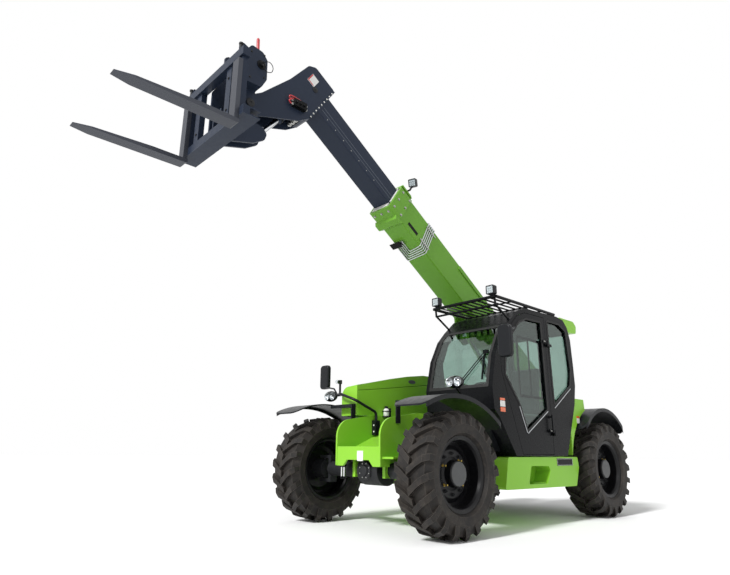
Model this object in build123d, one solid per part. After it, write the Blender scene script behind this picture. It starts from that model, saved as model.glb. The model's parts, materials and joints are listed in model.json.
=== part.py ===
from build123d import *
import math
import os

# Telehandler, millimetres.
# Working frame: X ahead of mid-wheelbase, Y left of the wheel centreline, Z above the ground.
# save() moves every piece back by origin_ahead, so the part's origin is under the middle of its length.

# ---- driving dimensions ------------------------------------------------------------------
origin_ahead = 1148
wheel_base = 3000
wheel_track = 1890
axle_height = 570

tyre_radius = 570
tyre_width = 400
bead_radius = 300
rim_flange_radius = 339
rim_width = 320
lug_count = 20
lug_height = 45
lug_lead = 97
lug_foot = 400
rim_wall = 9
disc_recess = 115
hub_cap_radius = 115
hub_cap_length = 78
kingpin_inset = 90
hub_inset = 55
steering_eye_inset = 25
kingpin_radius = 32
spindle_radius = 60
knuckle_radius = 104
yoke_half = 45
yoke_plate = 34
yoke_inset = 110
axle_tube_inset = 130
axle_tube_radius = 78
axle_housing_radius = 150
steering_arm = 150
steering_arm_thickness = 26
steering_eye_radius = 30
steering_eye_height = 42
steering_bar_radius = 20
steering_shell_radius = 38
fender_inner = 745
fender_outer = 1150
fender_skin = 14
fender_lip = 42
fender_corner = 80
fender_arm_half = 30
rear_arch_ahead = 50
rear_arch_above = 45
rear_arch_radius = 700

frame_right = -380
frame_left = 300
frame_plate = 22
frame_front = 1750
frame_tail = -2150
frame_bottom = 400
frame_top = 1160
nose_bottom = 613
nose_top = 808
tower_left = 8
tower_thickness = 28
floor_plate = 20

boom_angle = 33.9
boom_pivot_x = -1900
boom_pivot_z = 1675
boom_centre = -170
outer_width = 330
outer_height = 390
outer_below_pivot = 150
outer_wall = 10
outer_tail = 150
outer_reach = 3760
collar_length = 230
collar_lip = 8
boom_rib = 14
pipe_count = 5
pipe_pitch = 32
clamp_u = 3195
clamp_length = 55
inner_width = 260
inner_height = 277
inner_below_pivot = 80
inner_wall = 9
inner_start = 2300
inner_reach = 5150
pivot_pin_radius = 45
pivot_boss_radius = 85

lift_anchor_x = -1650
lift_anchor_z = 1050
lift_eye_u = 1600
lift_eye_drop = 320
lift_barrel_radius = 70
lift_rod_radius = 40
lift_barrel_length = 1180
lift_rod_length = 1200
lift_eye_radius = 58
lift_ear_rise = 90
lift_ear_reach = 150
lift_eye_width = 134
lift_ear_gap = 76
lift_ear_plate = 25
lift_pin_radius = 30

head_plate = 14
head_reach = 550
carriage_pivot_u = inner_reach + head_reach
carriage_pivot_drop = 860
carriage_pin_radius = 35
tilt_base_u = inner_reach + 181
tilt_base_w = 98
tilt_eye_back = 211
tilt_eye_drop = 220
tilt_barrel_radius = 50
tilt_rod_radius = 28
tilt_barrel_length = 640
tilt_rod_length = 660
tilt_eye_radius = 42
tilt_eye_width = 96
tilt_pin_radius = 22
axle_floor = 760
hood_rear = -850
hood_front = 1450

fork_spread = 504
fork_width = 138
fork_thickness = 45
fork_length = 1043
fork_heel_ahead = 368
fork_heel_drop = 565
fork_shank_height = 690
fork_shank_width = 105
carriage_overhang = 121
carriage_depth = 60
carriage_bar_height = 90

cab_left = 1050
cab_right = 150
cab_floor = 726
cab_wall = 42
cab_glass = 6
cab_front_end = 900
cab_rear_end = -960
cab_roof_seam = 2268
door_gap = 6
cab_guard_z = 2415
hinge_stand_off = 24
hinge_radius = 13
hinge_lift = 8
door_rear_x = -284
door_hinge_heights = (980, 2010)

hood_crown_rear = 1640
hood_crown = 1700
hood_outer = -1085
hood_foot = 745
hood_nose_foot = 1150
hood_seam_gap = 6
hood_corner = 110
hood_wall = 12
hood_hinge_radius = 12
hood_knuckle = 60
hood_hinge_places = (-900, -560)

pin_clearance = 0.3
hitch_bore_radius = 20
pipe_radius = 8
seat_gap = 0.3
running_gap = 6

# ---- places worked out from the driving dimensions ---------------------------------------
rim_disc_y = rim_width / 2 - disc_recess - 20
front_axle_x = wheel_base / 2
rear_axle_x = -wheel_base / 2
door_hinge_x = door_rear_x + door_gap / 2
door_hinge_y = cab_left + hinge_stand_off
cab_floor_top = cab_floor + cab_wall
kingpin_y = wheel_track / 2 - kingpin_inset
hood_edge = frame_right - seat_gap
hood_inner = hood_edge - hood_wall
hood_hinge_x = hood_rear - hood_hinge_radius - 2
hood_hinge_z = hood_crown_rear - hood_wall
cos_boom = math.cos(math.radians(boom_angle))
sin_boom = math.sin(math.radians(boom_angle))


def boom_point(along, above):
    """World (x, z) of a place given along the boom and square to it, from the boom's pivot."""
    x = boom_pivot_x + along * cos_boom - above * sin_boom
    z = boom_pivot_z + along * sin_boom + above * cos_boom
    return x, z


lift_eye_x, lift_eye_z = boom_point(lift_eye_u, -lift_eye_drop)
carriage_pivot_x, carriage_pivot_z = boom_point(carriage_pivot_u, -carriage_pivot_drop)
lift_length = math.hypot(lift_eye_x - lift_anchor_x, lift_eye_z - lift_anchor_z)
tilt_base_x, tilt_base_z = boom_point(tilt_base_u, tilt_base_w)
tilt_eye_x = carriage_pivot_x - tilt_eye_back
tilt_eye_z = carriage_pivot_z - tilt_eye_drop
tilt_length = math.hypot(tilt_eye_x - tilt_base_x, tilt_eye_z - tilt_base_z)
fork_heel_x = carriage_pivot_x + fork_heel_ahead
fork_heel_z = carriage_pivot_z - fork_heel_drop
carriage_width = 2 * (fork_spread + carriage_overhang)


# ---- small builders ----------------------------------------------------------------------
def block(x0, x1, y0, y1, z0, z1):
    """Box between two corners."""
    return Pos((x0 + x1) / 2, (y0 + y1) / 2, (z0 + z1) / 2) * Box(x1 - x0, y1 - y0, z1 - z0)


def side_plate(points, y0, y1, radius=0):
    """Outline in X and Z, made solid from y0 to y1, with its corners rounded."""
    corners = [(x, y0, z) for x, z in points]
    if radius:
        line = FilletPolyline(*corners, radius=radius, close=True)
    else:
        line = Polyline(*corners, close=True)
    return extrude(make_face(line), y1 - y0, dir=(0, 1, 0))


def plan_plate(points, z0, z1, radius=0):
    """Outline in X and Y, made solid from z0 to z1."""
    corners = [(x, y, z0) for x, y in points]
    if radius:
        line = FilletPolyline(*corners, radius=radius, close=True)
    else:
        line = Polyline(*corners, close=True)
    return extrude(make_face(line), z1 - z0, dir=(0, 0, 1))


def end_plate(points, x0, x1, radius=0):
    """Outline in Y and Z, made solid from x0 to x1."""
    corners = [(x0, y, z) for y, z in points]
    if radius:
        line = FilletPolyline(*corners, radius=radius, close=True)
    else:
        line = Polyline(*corners, close=True)
    return extrude(make_face(line), x1 - x0, dir=(1, 0, 0))


def rod(start, end, radius):
    """Round bar between two points."""
    a = Vector(*start)
    b = Vector(*end)
    return Solid.make_cylinder(radius, (b - a).length, Plane(origin=a, z_dir=b - a))


def pin_y(x, z, y0, y1, radius):
    """Round bar along Y."""
    return rod((x, y0, z), (x, y1, z), radius)


def bent_tube(points, radius, bend):
    """Round tube along a path of straight runs with rounded corners."""
    path = FilletPolyline(*points, radius=bend)
    start = Vector(*points[0])
    section = Plane(origin=start, z_dir=Vector(*points[1]) - start) * Circle(radius)
    return sweep(section, path=path)


def mirror_y(shape):
    return shape.mirror(Plane.XZ)


def on_boom(shape):
    """Place a shape drawn with X along the boom and Z square to it."""
    return Pos(boom_pivot_x, 0, boom_pivot_z) * Rot(0, -boom_angle, 0) * shape


def aimed(shape, x, z, to_x, to_z):
    """Place a shape drawn along +X from the origin so that it points from one place to another."""
    angle = math.degrees(math.atan2(to_z - z, to_x - x))
    return Pos(x, boom_centre, z) * Rot(0, -angle, 0) * shape


def save(name, *shapes):
    moved = [Pos(-origin_ahead, 0, 0) * s for s in shapes]
    solids = [s for shape in moved for s in shape.solids()]
    export_step(solids[0] if len(solids) == 1 else Compound(children=solids), f"parts/{name}.step")


# ---- wheels, knuckles and axles -----------------------------------------------------------
def around_y(points):
    """Ring turned about the Y axis from a list of (radius, y) corners."""
    face = make_face(Polyline(*[(r, y, 0) for r, y in points], close=True))
    return revolve(face, Axis.Y)


def tyre():
    """Carcass about the origin, axis on Y, with two staggered rows of slanted lugs, the middle ends leading."""
    half = tyre_width / 2
    tread_floor = tyre_radius - lug_height
    flank = [
        (bead_radius + rim_wall + seat_gap, half - 48), (rim_flange_radius + 3, half - 48),
        (rim_flange_radius + 26, half - 10), (tyre_radius - 130, half), (tread_floor, half - 40),
    ]
    carcass = around_y([(r, -y) for r, y in flank] + [(r, y) for r, y in reversed(flank)])
    top = math.sqrt(tyre_radius ** 2 - lug_lead ** 2)
    lug = plan_plate(
        [(lug_lead, -12), (17, 95), (-38, half), (-lug_lead, half), (-43, 95), (37, -12)], lug_foot, tyre_radius
    )
    lug &= end_plate(
        [(-15, 500), (140, 500), (half - 15, 430), (half, 445), (half, 515), (half - 45, top), (-15, top)],
        -lug_lead - 1, lug_lead + 1,
    )
    lean = 180 - math.degrees(math.asin(lug_lead / tyre_radius))
    step = 360 / lug_count
    lugs = []
    for i in range(lug_count):
        lugs.append(Rot(0, lean + i * step, 0) * lug)
        lugs.append(Rot(0, lean + (i + 0.5) * step, 0) * mirror_y(lug))
    return carcass + lugs


def rim():
    """Barrel with its flanges, dished disc and hub, all turned, the outer face toward +Y."""
    half = rim_width / 2
    seat = bead_radius + rim_wall
    flange_back = tyre_width / 2 - 48 + seat_gap
    mouth = bead_radius + 18
    outside = [
        (mouth, half), (rim_flange_radius, half), (rim_flange_radius, flange_back), (seat, flange_back),
    ]
    inside = [(bead_radius - rim_wall, half - 35), (bead_radius + 2, half - 12)]
    barrel = around_y(
        inside + outside + [(r, -y) for r, y in reversed(outside)] + [(r, -y) for r, y in reversed(inside)]
    )
    y = rim_disc_y
    disc = around_y([
        (0, y), (210, y), (250, y - 20), (bead_radius - 8, y - 20), (bead_radius - 8, y - 4), (256, y - 4),
        (214, y + 16), (150, y + 16), (hub_cap_radius + 9, y + 27), (hub_cap_radius, y + hub_cap_length + 9),
        (hub_cap_radius - 8, y + hub_cap_length + 16), (0, y + hub_cap_length + 16),
    ])
    return barrel + disc


def knuckle(side, arm_way):
    """Hub carrier on its kingpin, for one side of the axle; its arm points back (-1) or ahead (1)."""
    face_y = side * (wheel_track / 2 + rim_disc_y - seat_gap)
    inner_y = side * (kingpin_y - hub_inset)
    carrier = rod((0, inner_y, 0), (0, face_y, 0), knuckle_radius)
    arm_top = -steering_eye_height / 2 - 1
    arm_side = side * (kingpin_y - steering_eye_inset + steering_eye_radius)
    arm = block(
        *sorted((0, arm_way * (steering_arm + 25))), *sorted((inner_y, arm_side)),
        arm_top - steering_arm_thickness, arm_top,
    )
    pin_end = knuckle_radius + running_gap + yoke_plate
    pins = rod((0, side * kingpin_y, -pin_end), (0, side * kingpin_y, pin_end), kingpin_radius)
    return carrier + arm + pins


def axle():
    """Beam with its differential housing, steering cylinder and a yoke at each end, about the origin."""
    tube_end = kingpin_y - axle_tube_inset
    beam = rod((0, -tube_end, 0), (0, tube_end, 0), axle_tube_radius)
    housing = rod((0, -150, 0), (0, 150, 0), axle_housing_radius)
    shell_front = steering_arm - steering_shell_radius - 8
    housing &= block(-axle_housing_radius, shell_front, -151, 151, -axle_housing_radius, axle_housing_radius)
    shape = beam + housing
    shape += Pos(steering_arm, 0, 0) * steering_cylinder()
    for y in (-120, 90):
        shape += block(60, steering_arm - steering_bar_radius - 4, y, y + 30, -30, 30)
    for side in (-1, 1):
        back = side * (tube_end - 20)
        front = side * (kingpin_y + 40)
        lug_bottom = knuckle_radius + running_gap
        for up in (-1, 1):
            z0, z1 = sorted((up * lug_bottom, up * (lug_bottom + yoke_plate)))
            lug = block(-yoke_half, yoke_half, *sorted((back, front)), z0, z1)
            lug -= rod((0, side * kingpin_y, z0 - 1), (0, side * kingpin_y, z1 + 1), kingpin_radius + pin_clearance)
            shape += lug
        wall_end = side * (kingpin_y - yoke_inset)
        wall_top = lug_bottom + yoke_plate
        shape += block(-yoke_half, yoke_half, *sorted((back, wall_end)), -wall_top, wall_top)
    return shape


def steering_rod():
    """Bar of the double-ended steering cylinder, along Y behind the axle."""
    reach = kingpin_y - steering_eye_inset
    bar = rod((0, -reach, 0), (0, reach, 0), steering_bar_radius)
    for side in (-1, 1):
        bar += Pos(0, side * reach, 0) * Cylinder(steering_eye_radius, steering_eye_height)
    return bar


def steering_cylinder():
    shell = rod((0, -210, 0), (0, 210, 0), steering_shell_radius)
    return shell - rod((0, -211, 0), (0, 211, 0), steering_bar_radius + pin_clearance)


# ---- chassis ------------------------------------------------------------------------------
def frame_side(y, under_cab):
    """One long side plate of the chassis, lower where the cab stands over it."""
    # corner: X, Z, radius
    outline = [
        (frame_tail, 690, 30), (frame_tail, 1250, 30), (-2110, 1560, 40), (-1900, frame_top + 120, 60),
        (-1250, frame_top, 40),
    ]
    if under_cab:
        seat = cab_floor - seat_gap
        outline += [(-1010, frame_top, 12), (-1010, seat, 12), (560, seat, 12), (905, frame_top, 12)]
    outline += [
        (1200, frame_top, 150), (frame_front, 1072, 190), (frame_front, nose_bottom, 10), (1180, nose_bottom, 12),
        (1020, frame_bottom, 12), (-1020, frame_bottom, 12), (-1180, 690, 12),
    ]
    plate = side_plate([(x, z) for x, z, r in outline], y, y + frame_plate, [r for x, z, r in outline])
    notch = axle_tube_radius + 40
    sides = (y - 1, y + frame_plate + 1)
    plate -= block(front_axle_x - notch, front_axle_x + notch, *sides, frame_bottom, axle_height + notch)
    return plate


def lift_ears():
    """Low Y of the two plates that straddle an eye of the lift cylinder."""
    return boom_centre - lift_ear_gap - lift_ear_plate, boom_centre + lift_ear_gap


def chassis():
    right = frame_side(frame_right, False)
    left = frame_side(frame_left - frame_plate, True)
    inner_right = frame_right + frame_plate
    inner_left = frame_left - frame_plate
    floor = block(-1000, 1000, inner_right, inner_left, frame_bottom + 20, frame_bottom + 20 + floor_plate)
    nose = end_plate(
        [
            (inner_right, nose_bottom), (inner_right + 90, nose_bottom), (inner_right + 150, nose_bottom + 62),
            (inner_left - 150, nose_bottom + 62), (inner_left - 90, nose_bottom), (inner_left, nose_bottom),
            (inner_left, nose_top), (inner_right, nose_top),
        ],
        frame_front - 30, frame_front - 5,
    )
    shelf = side_plate(
        [
            (frame_front - 5, nose_top - 18), (frame_front - 5, nose_top), (1480, nose_top + 4), (1180, 930),
            (1180, 910), (1475, nose_top - 14),
        ],
        inner_right, inner_left,
    )
    front_wall = block(1140, 1180, inner_right, inner_left, frame_bottom + 40, 930)
    tail = block(frame_tail, frame_tail + 40, inner_right, inner_left, 690, 1250)
    tail_floor = block(frame_tail, -1000, inner_right, inner_left, axle_floor, axle_floor + 20)
    nose_floor = block(1150, frame_front - 20, inner_right, inner_left, axle_floor, axle_floor + 20)
    step = block(-1020, -1000, inner_right, inner_left, frame_bottom + 20, axle_floor + 10)
    body = right + left + floor + nose + shelf + front_wall + tail + tail_floor + nose_floor + step
    body += block(1200, 1720, frame_left - 1, 450, 690, 710)
    body += end_plate([(frame_left - 1, nose_bottom), (380, nose_bottom), (450, 700), (450, 880), (400, 930),
                       (frame_left - 1, 930)], 1240, 1256)
    for y in (tower_left, -348 - tower_thickness):
        tower = side_plate(
            [(frame_tail, axle_floor), (frame_tail, 1500), (-2030, 1860), (-1780, 1860), (-1560, 1200), (-1420, axle_floor)],
            y, y + tower_thickness, 60,
        )
        body += tower
    for y in lift_ears():
        body += side_plate(
            [
                (lift_anchor_x - lift_ear_reach, axle_floor), (lift_anchor_x - lift_ear_rise, lift_anchor_z + lift_ear_rise),
                (lift_anchor_x + lift_ear_rise, lift_anchor_z + lift_ear_rise), (lift_anchor_x + lift_ear_reach, axle_floor),
            ],
            y, y + lift_ear_plate,
        )
    body += pin_y(lift_anchor_x, lift_anchor_z, boom_centre - lift_ear_gap - 20, boom_centre + lift_ear_gap + 20, lift_pin_radius)
    pivot_ends = (-348 - tower_thickness - 18, tower_left + tower_thickness + 18)
    body += pin_y(boom_pivot_x, boom_pivot_z, *pivot_ends, pivot_pin_radius)
    for x in (front_axle_x, rear_axle_x):
        body += axle_saddles(x)
    return body


def axle_saddles(x):
    """Pair of plates that hold an axle beam under the chassis."""
    shape = None
    for y in (-260, 190):
        saddle = block(x - 110, x + 110, y, y + 40, 500, axle_floor + 5)
        saddle -= pin_y(x, axle_height, y - 1, y + 41, axle_tube_radius + seat_gap)
        shape = saddle if shape is None else shape + saddle
    return shape


def left_step_beam():
    """Tank and step under the cab, with its recess."""
    beam = side_plate(
        [(-760, 391), (717, 399), (638, 715), (-830, 715), (-848, 598)],
        frame_left + seat_gap, 1040, 25,
    )
    recess = side_plate([(208, 623), (-153, 619), (-187, 577), (-107, 437), (277, 439)], 860, 1041, 20)
    return beam - recess


def left_rear_tower():
    """Panel behind the cab, cut round the rear wheel's arch."""
    panel = side_plate(
        [(-700, 715 + seat_gap), (-700, 1406), (-1124, 1406), (-1150, 1150), (-1150, 715 + seat_gap)],
        frame_left + seat_gap, 1040,
    )
    panel -= side_plate(shrink(cab_outline, -seat_gap), frame_left, 1041)
    panel -= block(-730, -690, frame_left, 1041, 700, 1000)
    arch = (rear_axle_x + rear_arch_ahead, axle_height + rear_arch_above)
    return panel - pin_y(*arch, frame_left, 1050, rear_arch_radius + 30)


def right_pod():
    return side_plate([(-760, 391), (717, 399), (660, 735), (-830, 735), (-848, 598)], -1040, frame_right - seat_gap, 25)


def engine_block():
    return block(-780, 330, -900, -440, 735, 1330)


# hood section: X, height of its crown, outer Y, fall of the crown toward it
hood_sections = [
    (hood_rear, hood_crown_rear, hood_outer, 0),
    (-300, hood_crown, hood_outer, 30),
    (300, hood_crown, hood_outer, 30),
    (600, 1661, hood_outer, 30),
    (900, 1606, -760, 30),
    (1300, 1521, -690, 20),
    (hood_front + 10, 1489, -640, 20),
]
hood_arch = [(700, hood_foot - 5), (740, 1000), (870, hood_nose_foot), (1500, hood_nose_foot), (1500, hood_foot - 5)]
hood_seam = [(-300, 1610), (280, 1580), (1050, 1480), (hood_front + 20, 1430)]


def hood_form(inset, front, edge):
    """The engine cover's form from the rear up to one X, moved in by a thickness, with its open side at one Y."""
    sections = []
    for x, crown, outer, fall in hood_sections:
        corners = [
            (x, edge, hood_foot - inset), (x, edge, crown - inset), (x, outer + inset, crown - fall - inset),
            (x, outer + inset, hood_foot - inset),
        ]
        line = FilletPolyline(*corners, radius=[0, 0, hood_corner - inset, 0], close=True)
        sections.append(make_face(line))
    form = loft(sections, ruled=True)
    ends = [(hood_rear - 1, edge), (hood_rear - 1, hood_outer - 1), (front, hood_outer - 1), (front, edge)]
    upright = plan_plate(ends, hood_foot - inset, hood_crown + 1)
    return form & upright


def engine_wall():
    """Fixed walls of the engine bay: facing the boom, at the rear and over the front wheel, and the hinge's half."""
    front = hood_front - hood_wall - seat_gap
    seam = [(x, z - hood_seam_gap) for x, z in hood_seam]
    inner = side_plate(
        [(hood_rear + hood_wall, hood_foot), (hood_rear + hood_wall, 1550)] + seam + [(hood_front + 20, hood_foot)],
        hood_inner, hood_edge,
    )
    inner &= block(hood_rear, front, hood_inner, hood_edge, hood_foot, hood_crown)
    inner -= side_plate(hood_arch, hood_inner - 1, hood_edge + 1)
    top = hood_crown_rear - hood_wall - seat_gap
    rear = block(hood_rear, hood_rear + hood_wall + 1, hood_outer + hood_wall + running_gap, hood_edge, hood_foot, top)
    rear &= hood_form(hood_wall + seat_gap, front, hood_edge)
    liner = side_plate(shrink(hood_arch, -hood_wall), hood_outer, hood_edge) - side_plate(hood_arch, hood_outer, hood_edge)
    liner &= hood_form(hood_wall + running_gap, front, hood_edge)
    liner &= block(600, 900, hood_outer, hood_edge, hood_foot, hood_nose_foot + hood_wall)
    shape = inner + rear + liner
    for y in hood_hinge_places:
        shape += pin_y(hood_hinge_x, hood_hinge_z, y - hood_knuckle, y - seat_gap / 2, hood_hinge_radius)
        shape += block(
            hood_hinge_x, hood_rear + hood_wall, y - hood_knuckle, y - seat_gap / 2,
            hood_hinge_z - 2 * hood_hinge_radius, top,
        )
    return shape


def counterweight():
    body = block(frame_tail - 130, frame_tail - seat_gap, -610, 610, 560, 1120)
    return fillet(body.edges().filter_by(Axis.Z).sort_by(Axis.X)[:2], 90)


def fender(side, axle_x, centre, radius, rear_end, front_end):
    """Arched mudguard over one wheel, about its own centre, with a turned-down outer lip, its arm and riser."""
    x, z = centre
    y_edge = fender_outer - fender_skin
    arch = Pos(x, 0, z) * around_y([
        (radius - fender_skin, fender_inner), (radius, fender_inner), (radius, fender_outer),
        (radius - fender_lip, fender_outer), (radius - fender_lip, y_edge), (radius - fender_skin, y_edge),
    ])
    x0 = x + radius * math.cos(math.radians(rear_end))
    x1 = x + radius * math.cos(math.radians(front_end))
    low = z + radius * min(math.sin(math.radians(rear_end)), math.sin(math.radians(front_end))) - fender_lip
    plan = [(x0, fender_inner - 1), (x1, fender_inner - 1), (x1, fender_outer + 1), (x0, fender_outer + 1)]
    arch &= plan_plate(plan, low, z + radius + 1, fender_corner)
    wall = frame_left + seat_gap if side > 0 else seat_gap - frame_right
    arm_top = z + radius - 12
    sides = (axle_x - fender_arm_half, axle_x + fender_arm_half)
    arch += block(*sides, wall, fender_inner + 5, arm_top - 38, arm_top)
    arch += block(*sides, wall, wall + fender_skin, 1040, arm_top)
    return arch if side > 0 else mirror_y(arch)


def hood():
    """Engine cover in one moulding, open below, at the rear and toward the boom, with its half of the hinge."""
    front = hood_front
    shape = hood_form(0, front, hood_edge) - hood_form(hood_wall, front - hood_wall, hood_edge + 10)
    shape -= side_plate(hood_arch, hood_outer - 1, hood_edge + 1)
    lip = hood_form(0, front, hood_edge) & side_plate(
        hood_seam + [(hood_front + 20, hood_crown), (-300, hood_crown)], hood_inner, hood_edge
    )
    shape += lip
    for y in hood_hinge_places:
        shape += pin_y(hood_hinge_x, hood_hinge_z, y + seat_gap / 2, y + hood_knuckle, hood_hinge_radius)
        shape += block(
            hood_hinge_x, hood_rear + 1, y + seat_gap / 2, y + hood_knuckle, hood_hinge_z, hood_hinge_z + hood_hinge_radius
        )
    return shape


# ---- cab ------------------------------------------------------------------------------------
cab_outline = [
    (-587, cab_floor), (494, cab_floor), (760, 1108), (850, 1190), (865, 1420), (780, 1760), (640, 2010),
    (500, 2150), (311, 2308), (140, 2374), (-603, 2396), (-760, 2374), (-850, 2290), (-906, 2132),
    (-923, 1809), (-927, 1567), (-866, 1326),
]
cab_inside = [
    (-560, cab_floor + cab_wall), (470, cab_floor + cab_wall), (722, 1130), (806, 1210), (822, 1415), (740, 1742), (604, 1985),
    (468, 2118), (290, 2268), (130, 2330), (-600, 2352), (-740, 2335), (-812, 2268), (-864, 2126),
    (-880, 1809), (-884, 1572), (-824, 1340),
]
door_outline = [(365, 737), (586, 1326), (690, 1607), (686, 1738), (560, 2040), (311, 2262), (140, 2322), (door_rear_x, 2330), (door_rear_x, 737)]
door_window = [(124, 2255), (-206, 2266), (-218, 1230), (252, 974), (386, 1274), (622, 1560), (600, 1751), (480, 2000), (290, 2190)]
quarter_window = [(-342, 2307), (-640, 2309), (-800, 2240), (-850, 1738), (-793, 1544), (-365, 1285)]
right_window = [(560, 1420), (600, 1751), (480, 2000), (290, 2190), (124, 2255), (-600, 2290), (-800, 2220), (-850, 1738), (-830, 1420)]


glass_low = cab_right + cab_wall + 20
glass_high = cab_left - cab_wall - 20
front_opening = [(glass_low, 1430), (glass_low, 2120), (glass_high, 2120), (glass_high, 1430)]
rear_opening = [(glass_low, 1250), (glass_low, 2200), (glass_high, 2200), (glass_high, 1250)]
roof_opening = [(-550, glass_low + 40), (-550, glass_high - 40), (120, glass_high - 40), (120, glass_low + 40)]


def hinge_part(upper):
    """Straps and knuckles on one side of the door's two hinges: the door's upper ones or the cab's lower ones."""
    shape = None
    for z in door_hinge_heights:
        z0, z1 = (z + seat_gap / 2, z + 32) if upper else (z - 32, z - seat_gap / 2)
        knuckle_part = rod((door_hinge_x, door_hinge_y, z0), (door_hinge_x, door_hinge_y, z1), hinge_radius)
        reach = 90 if upper else -90
        strap = block(*sorted((door_hinge_x, door_hinge_x + reach)), cab_left + hinge_lift, door_hinge_y + 4, z0, z1)
        foot = block(*sorted((door_hinge_x + reach / 3, door_hinge_x + reach)), cab_left, cab_left + hinge_lift + 1, z0, z1)
        piece = knuckle_part + strap + foot
        shape = piece if shape is None else shape + piece
    return shape


def cab_left_frame():
    """Left side of the cab with its door opening, rear quarter opening and the fixed half of the hinges."""
    frame = side_plate(cab_outline, cab_left - cab_wall, cab_left)
    frame -= side_plate(door_outline, cab_left - cab_wall - 1, cab_left + 1)
    frame -= side_plate(quarter_window, cab_left - cab_wall - 1, cab_left + 1, 30)
    return frame + hinge_part(False)


def cab_right_frame():
    frame = side_plate(cab_outline, cab_right, cab_right + cab_wall)
    return frame - side_plate(right_window, cab_right - 1, cab_right + cab_wall + 1, 30)


def cab_band(x0, x1, z0, z1):
    """Stretch of the band that joins the cab's two sides all round, between two levels."""
    band = side_plate(cab_outline, cab_right + cab_wall, cab_left - cab_wall)
    band -= side_plate(cab_inside, cab_right, cab_left)
    return band & block(x0, x1, cab_right, cab_left, z0, z1)


def cab_floor_pan():
    return cab_band(cab_rear_end, cab_front_end, cab_floor, cab_floor_top)


def cab_front_frame():
    frame = cab_band(0, cab_front_end, cab_floor_top, cab_roof_seam)
    return frame - end_plate(front_opening, 400, 900, 40)


def cab_rear_frame():
    frame = cab_band(cab_rear_end, 0, cab_floor_top, cab_roof_seam)
    return frame - end_plate(rear_opening, -960, -800, 40)


def cab_roof():
    return cab_band(cab_rear_end, cab_front_end, cab_roof_seam, cab_guard_z) - plan_plate(roof_opening, 2300, 2420, 40)


def window_pane(outline, y0, y1):
    return side_plate(outline, y0, y1, 30)


def bent_pane(opening, x0, x1, inward):
    """Pane that follows the cab's outline across one opening; inward is the way to the cab's inside."""
    skin = side_plate(cab_outline, cab_right, cab_left)
    inside = [(x + inward * 10 if x * inward < 0 else x, z) for x, z in cab_outline]
    skin -= side_plate(inside, cab_right - 1, cab_left + 1)
    return skin & end_plate(shrink(opening, seat_gap), x0, x1, 40)


def roof_pane():
    return plan_plate(shrink(roof_opening, seat_gap), 2345, 2355, 40)


def door():
    leaf = side_plate(door_outline, cab_left - cab_wall, cab_left)
    leaf &= side_plate(shrink(door_outline, door_gap), cab_left - cab_wall, cab_left)
    leaf -= side_plate(door_window, cab_left - cab_wall - 1, cab_left + 1, 30)
    return leaf + hinge_part(True)


def shrink(points, by):
    """The same outline with each corner moved towards its middle line by about one distance."""
    count = len(points)
    moved = []
    for i in range(count):
        (ax, az), (bx, bz), (cx, cz) = points[i - 1], points[i], points[(i + 1) % count]
        first = Vector(bx - ax, bz - az).normalized()
        second = Vector(cx - bx, cz - bz).normalized()
        normal_a = Vector(-first.Y, first.X)
        normal_b = Vector(-second.Y, second.X)
        both = (normal_a + normal_b).normalized()
        reach = by / max(0.3, both.dot(normal_a))
        moved.append((bx + both.X * reach * turn_sign(points), bz + both.Y * reach * turn_sign(points)))
    return moved


def turn_sign(points):
    """1 where the outline runs anticlockwise in X and Z, -1 where it runs clockwise."""
    area = sum(
        points[i - 1][0] * points[i][1] - points[i][0] * points[i - 1][1] for i in range(len(points))
    )
    return 1 if area > 0 else -1


def roof_guard():
    """Slatted guard over the cab roof and ahead of it, on feet and two front braces."""
    z = cab_guard_z
    tube = 18
    front = 700
    rear = -560
    y0, y1 = cab_right + 10, cab_left - 10
    bars = rod((front, y0, z), (front, y1, z), tube) + rod((rear, y0, z), (rear, y1, z), tube)
    for y in (y0, y1):
        bars += rod((front, y, z), (rear, y, z), tube)
    slat_pitch = (y1 - y0) / 10
    for i in range(1, 10):
        y = y0 + i * slat_pitch
        bars += block(rear, front, y - 13, y + 13, z - 5, z + 5)
    for x in (400, 60, -250):
        bars += rod((x, y0, z - 11), (x, y1, z - 11), 9)
    bars += rod((front - 20, y0 + 20, z - 90), (front - 20, y1 - 20, z - 90), 12)
    for y in (y0 + 20, y1 - 20):
        bars += rod((front - 20, y, z - 96), (front - 10, y, z), 12)
        bars += rod((front - 22, y, z - 88), (430, y, 2190), 12)
    for x in (60, -520):
        for y in (y0 + 20, y1 - 20):
            bars += block(x - 15, x + 15, y - 20, y + 20, 2360, z)
    return bars - side_plate(shrink(cab_outline, -seat_gap), cab_right, cab_left)


# ---- boom -------------------------------------------------------------------------------------
def box_tube(u0, u1, width, w0, w1, wall):
    outer = block(u0, u1, boom_centre - width / 2, boom_centre + width / 2, w0, w1)
    outer = fillet(outer.edges().filter_by(Axis.X), wall * 1.5)
    hollow = block(
        u0 - 1, u1 + 1, boom_centre - width / 2 + wall, boom_centre + width / 2 - wall, w0 + wall, w1 - wall
    )
    return outer - hollow


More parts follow.
